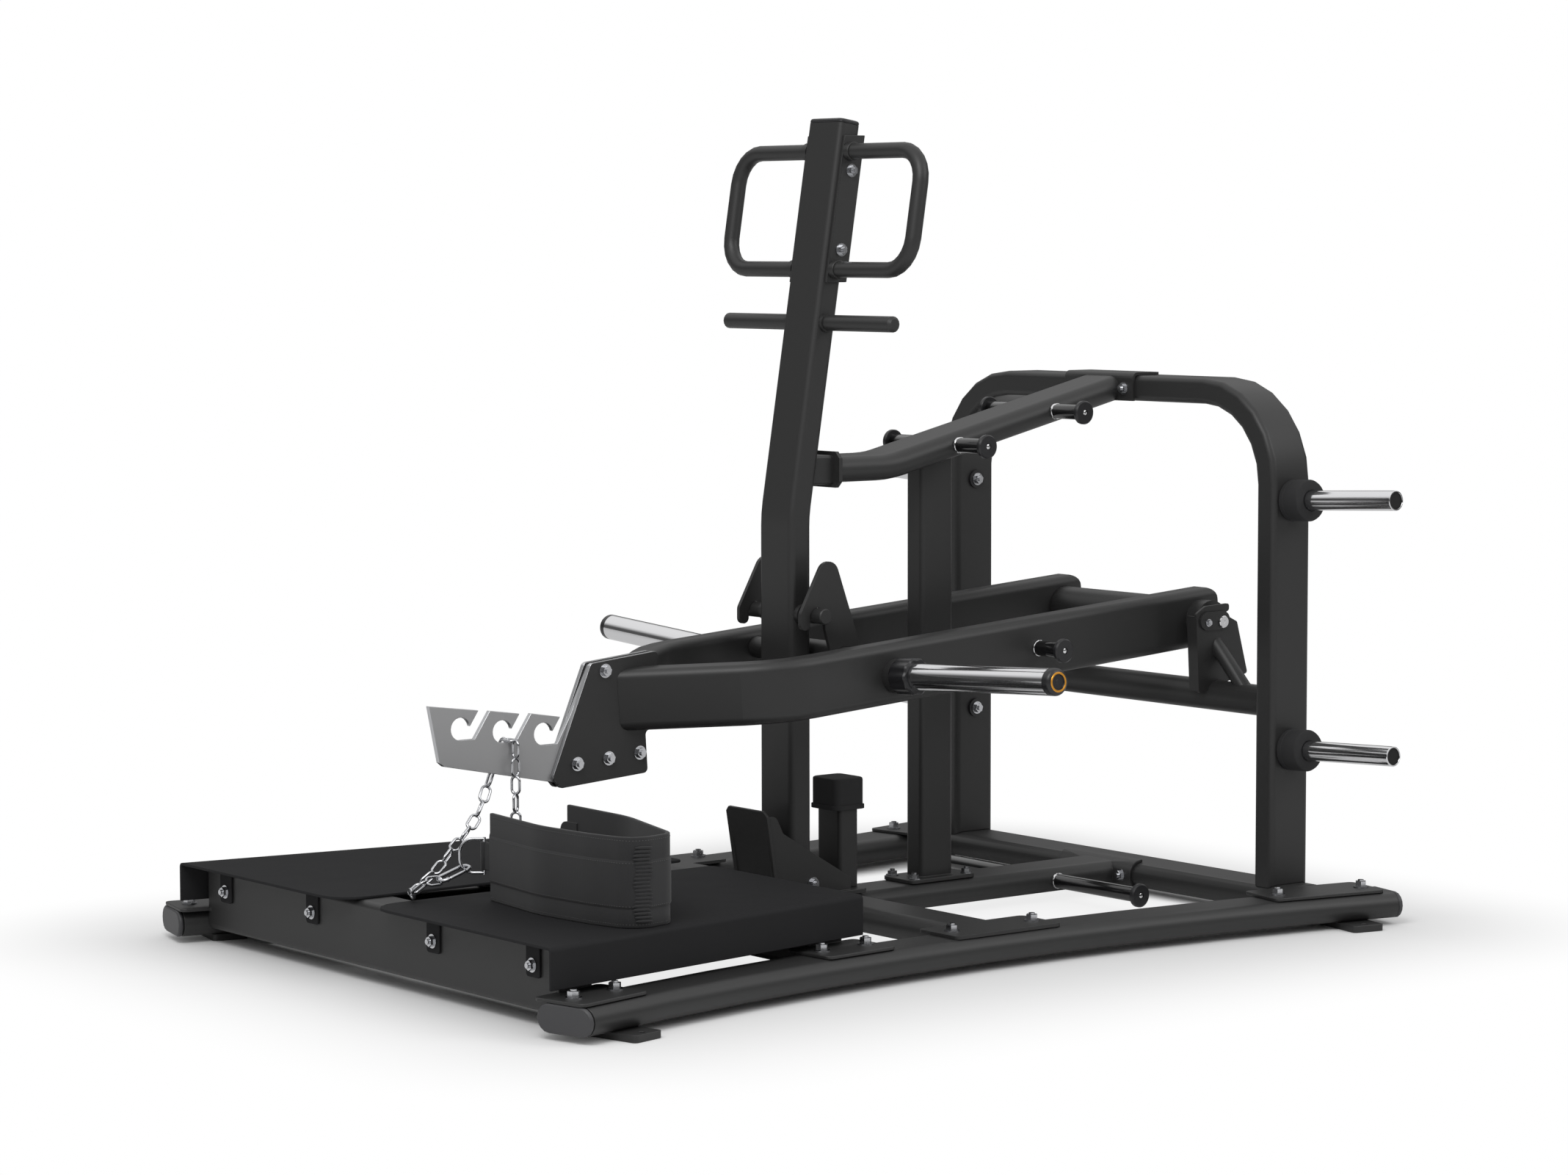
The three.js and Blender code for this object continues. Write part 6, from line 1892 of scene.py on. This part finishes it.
    def build(self) -> None:
        """Make the belt, its stitching and its folds."""
        parts = [(part, 0) for part in (self.band(), *self.loops())]
        piece = new_piece("waist_belt", join_meshes(parts, "waist_belt", self.sharp_degrees))
        settle(piece, NYLON_WEBBING, Body.LEVER, Slot.WEBBING, "belt")
        stitches = Stitch("edge_stitch").make("belt_stitching", self.seams(), THREAD)
        settle(stitches, THREAD, Body.LEVER, Slot.WEBBING)
        fold = Stitch("corner_fold", length_mm=32, thread_mm=5.6, fineness=3)
        folds = fold.make("belt_corner_folds", self.folds(), NYLON_WEBBING)
        settle(folds, NYLON_WEBBING, Body.LEVER, Slot.WEBBING)


# Floor, lamps and camera


@dataclass
class Stage:
    """Pale floor, soft lamps and the camera."""

    camera_at: Vector = field(default_factory=lambda: Vector((6.2151, -3.8905 + FRONT_EDGE_Y, 1.3186)))
    azimuth: float = 52.024
    pitch: float = 4.806
    roll: float = -0.101
    lens_mm: float = 96.346
    sensor_mm: float = 36.0
    sight: float = 100.0
    floor_reach: float = 30.0
    floor_grey: float = 0.85
    footprint: Pair = (0.6, 0.86)
    white_from: float = 0.62
    # Inside the base's openings the floor glows nearly white to camera rays: painted light over the shade
    # that falls there
    open_floor: Pair = (0.5, 0.86)
    open_floor_edge: float = 0.08
    painted_light_peak: float = 0.82
    room_light: float = 0.6
    lamps_aim: Triple = (0.0, 0.0, 0.4)
    key_at: Triple = (2.0, -3.0, 4.2)
    key_size: float = 2.6
    key_watts: float = 100.0
    side_at: Triple = (3.6, 2.4, 3.2)
    side_size: float = 2.0
    side_watts: float = 34.0
    # Pairs of height, from straight down at 0 to straight up at 1, and grey
    mirror_greys: tuple[Pair, ...] = (
        (0.0, 0.5), (0.46, 0.46), (0.5, 0.08), (0.62, 0.1), (0.74, 0.9), (1.0, 1.0),
    )

    def camera(self) -> None:
        """Set the camera at the photograph's angle."""
        a, e, r = (math.radians(v) for v in (self.azimuth, self.pitch, self.roll))
        ahead = Vector((-math.sin(a) * math.cos(e), math.cos(a) * math.cos(e), -math.sin(e)))
        right = Vector((math.cos(a), math.sin(a), 0))
        up = right.cross(ahead)
        turned_right = right * math.cos(r) + up * math.sin(r)
        turned_up = up * math.cos(r) - right * math.sin(r)
        data = bpy.data.cameras.new("camera")
        data.lens = self.lens_mm
        data.sensor_width = self.sensor_mm
        data.clip_end = self.sight
        camera = bpy.data.objects.new("camera", data)
        basis = Matrix((turned_right, turned_up, -ahead)).transposed()
        camera.matrix_world = Matrix.Translation(self.camera_at) @ basis.to_4x4()
        bpy.context.scene.collection.objects.link(camera)
        bpy.context.scene.camera = camera

    def white_share(self, tree: bpy.types.NodeTree) -> bpy.types.NodeSocket:
        """Give how far the floor reads white: well beyond the machine, and in the openings of its base,
        where the white is painted light over the shade that falls there.

        Args:
            tree: tree of the floor's material.

        Returns:
            The socket of the share, from 0 to 1.
        """
        spot = add_node(tree, "ShaderNodeTexCoord")
        folded = add_node(tree, "ShaderNodeVectorMath", {0: spot.outputs["Object"]}, operation="ABSOLUTE")
        beyond = add_node(tree, "ShaderNodeVectorMath", {
            0: folded.outputs["Vector"], 1: (*self.footprint, 0.0),
        }, operation="SUBTRACT")
        outside = add_node(tree, "ShaderNodeVectorMath", {
            0: beyond.outputs["Vector"], 1: (0.0, 0.0, 0.0),
        }, operation="MAXIMUM")
        reach = add_node(tree, "ShaderNodeVectorMath", {0: outside.outputs["Vector"]}, operation="LENGTH")
        away = add_node(tree, "ShaderNodeMapRange", {
            "Value": reach.outputs["Value"], "From Max": self.white_from,
        }, interpolation_type="SMOOTHSTEP")
        # Painted light: inside the base's openings the floor glows nearly white, over the shade that falls
        # there
        past = add_node(tree, "ShaderNodeVectorMath", {
            0: folded.outputs["Vector"], 1: (*self.open_floor, 0.0),
        }, operation="SUBTRACT")
        sides = add_node(tree, "ShaderNodeSeparateXYZ", {"Vector": past.outputs["Vector"]})
        further = add_node(tree, "ShaderNodeMath", {
            0: sides.outputs["X"], 1: sides.outputs["Y"],
        }, operation="MAXIMUM")
        within = add_node(tree, "ShaderNodeMapRange", {
            "Value": further.outputs["Value"], "From Max": -self.open_floor_edge,
            "To Max": self.painted_light_peak,
        }, interpolation_type="SMOOTHSTEP")
        backdrop_and_painted_light = add_node(tree, "ShaderNodeMath", {
            0: away.outputs["Result"], 1: within.outputs["Result"],
        }, operation="MAXIMUM")
        return backdrop_and_painted_light.outputs["Value"]

    def floor(self) -> None:
        """Lay the floor: a pale matte sheet that keeps the shadow and reads white beyond it, with painted
        light over the shade inside the base's openings.
        """
        bm = bmesh.new()
        bmesh.ops.create_grid(bm, x_segments=1, y_segments=1, size=self.floor_reach)
        mesh = bpy.data.meshes.new("floor")
        bm.to_mesh(mesh)
        bm.free()
        material = bpy.data.materials.new("pale_studio_floor")
        tree = empty_tree(material)
        paint = add_node(tree, "ShaderNodeBsdfDiffuse", {"Color": (*[self.floor_grey] * 3, 1)})
        white = add_node(tree, "ShaderNodeEmission", {"Strength": 1.0})
        rays = add_node(tree, "ShaderNodeLightPath")
        seen = add_node(tree, "ShaderNodeMath", {
            0: rays.outputs["Is Camera Ray"], 1: self.white_share(tree),
        }, operation="MULTIPLY")
        shown = add_node(tree, "ShaderNodeMixShader", {
            0: seen.outputs["Value"], 1: paint.outputs["BSDF"], 2: white.outputs["Emission"],
        })
        add_node(tree, "ShaderNodeOutputMaterial", {"Surface": shown.outputs["Shader"]})
        mesh.materials.append(material)
        floor = new_piece("studio_floor", mesh)

    def lamp(self, name: str, at: Triple, size: float, watts: float) -> None:
        """Hang one soft square lamp that looks at the middle of the machine.

        Args:
            name: name of the lamp.
            at: its place in metres.
            size: edge of the square in metres.
            watts: power.
        """
        data = bpy.data.lights.new(name, "AREA")
        data.size = size
        data.energy = watts
        lamp = bpy.data.objects.new(name, data)
        lamp.location = at
        lamp.rotation_euler = (Vector(self.lamps_aim) - Vector(at)).to_track_quat("-Z", "Y").to_euler()
        bpy.context.scene.collection.objects.link(lamp)

    def bands(self, tree: bpy.types.NodeTree) -> bpy.types.NodeSocket:
        """Give what polished faces mirror: a dim wall round the room under a bright ceiling.

        Args:
            tree: tree of the world.

        Returns:
            The colour socket, by height of the ray.
        """
        ways = add_node(tree, "ShaderNodeTexCoord")
        parts = add_node(tree, "ShaderNodeSeparateXYZ", {"Vector": ways.outputs["Generated"]})
        height = add_node(tree, "ShaderNodeMapRange", {"Value": parts.outputs["Z"], "From Min": -1.0})
        ramp = add_node(tree, "ShaderNodeValToRGB", {"Fac": height.outputs["Result"]})
        stops = ramp.color_ramp.elements
        # A new ramp has stops of its own at 0 and 1
        for spot, _ in self.mirror_greys[1:-1]:
            stops.new(spot)
        for stop, (_, grey) in zip(stops, self.mirror_greys):
            stop.color = (grey, grey, grey, 1)
        return ramp.outputs["Color"]

    def lights(self) -> None:
        """Light the room evenly with a soft key from above."""
        world = bpy.data.worlds.new("studio")
        bpy.context.scene.world = world
        tree = empty_tree(world)
        rays = add_node(tree, "ShaderNodeLightPath")
        room = add_node(tree, "ShaderNodeBackground", {"Color": (1, 1, 1, 1), "Strength": self.room_light})
        mirrored = add_node(tree, "ShaderNodeBackground", {"Color": self.bands(tree), "Strength": 1.0})
        white = add_node(tree, "ShaderNodeBackground", {"Color": (1, 1, 1, 1), "Strength": 1.0})
        polished = add_node(tree, "ShaderNodeMixShader", {
            0: rays.outputs["Is Glossy Ray"], 1: room.outputs["Background"],
            2: mirrored.outputs["Background"],
        })
        mixed = add_node(tree, "ShaderNodeMixShader", {
            0: rays.outputs["Is Camera Ray"], 1: polished.outputs["Shader"], 2: white.outputs["Background"],
        })
        add_node(tree, "ShaderNodeOutputWorld", {"Surface": mixed.outputs["Shader"]})
        self.lamp("key_softbox", self.key_at, self.key_size, self.key_watts)
        self.lamp("side_softbox", self.side_at, self.side_size, self.side_watts)

    def build(self) -> None:
        """Make the whole stage."""
        self.camera()
        self.floor()
        self.lights()
        bpy.context.scene.view_settings.view_transform = "Standard"


def main() -> None:
    """Build the machine's looks in order."""
    logging.basicConfig(level=logging.INFO, format="%(message)s")
    Stage().build()
    parts = (
        Steelwork(), PlateSleeves(), StorageSleeves(), Pegs(), BarTrim(), Fasteners(), ChainWork(),
        WaistBelt(),
    )
    for part in parts:
        part.build()
        log.info("%s built", type(part).__name__)


if __name__ == "__main__":
    main()
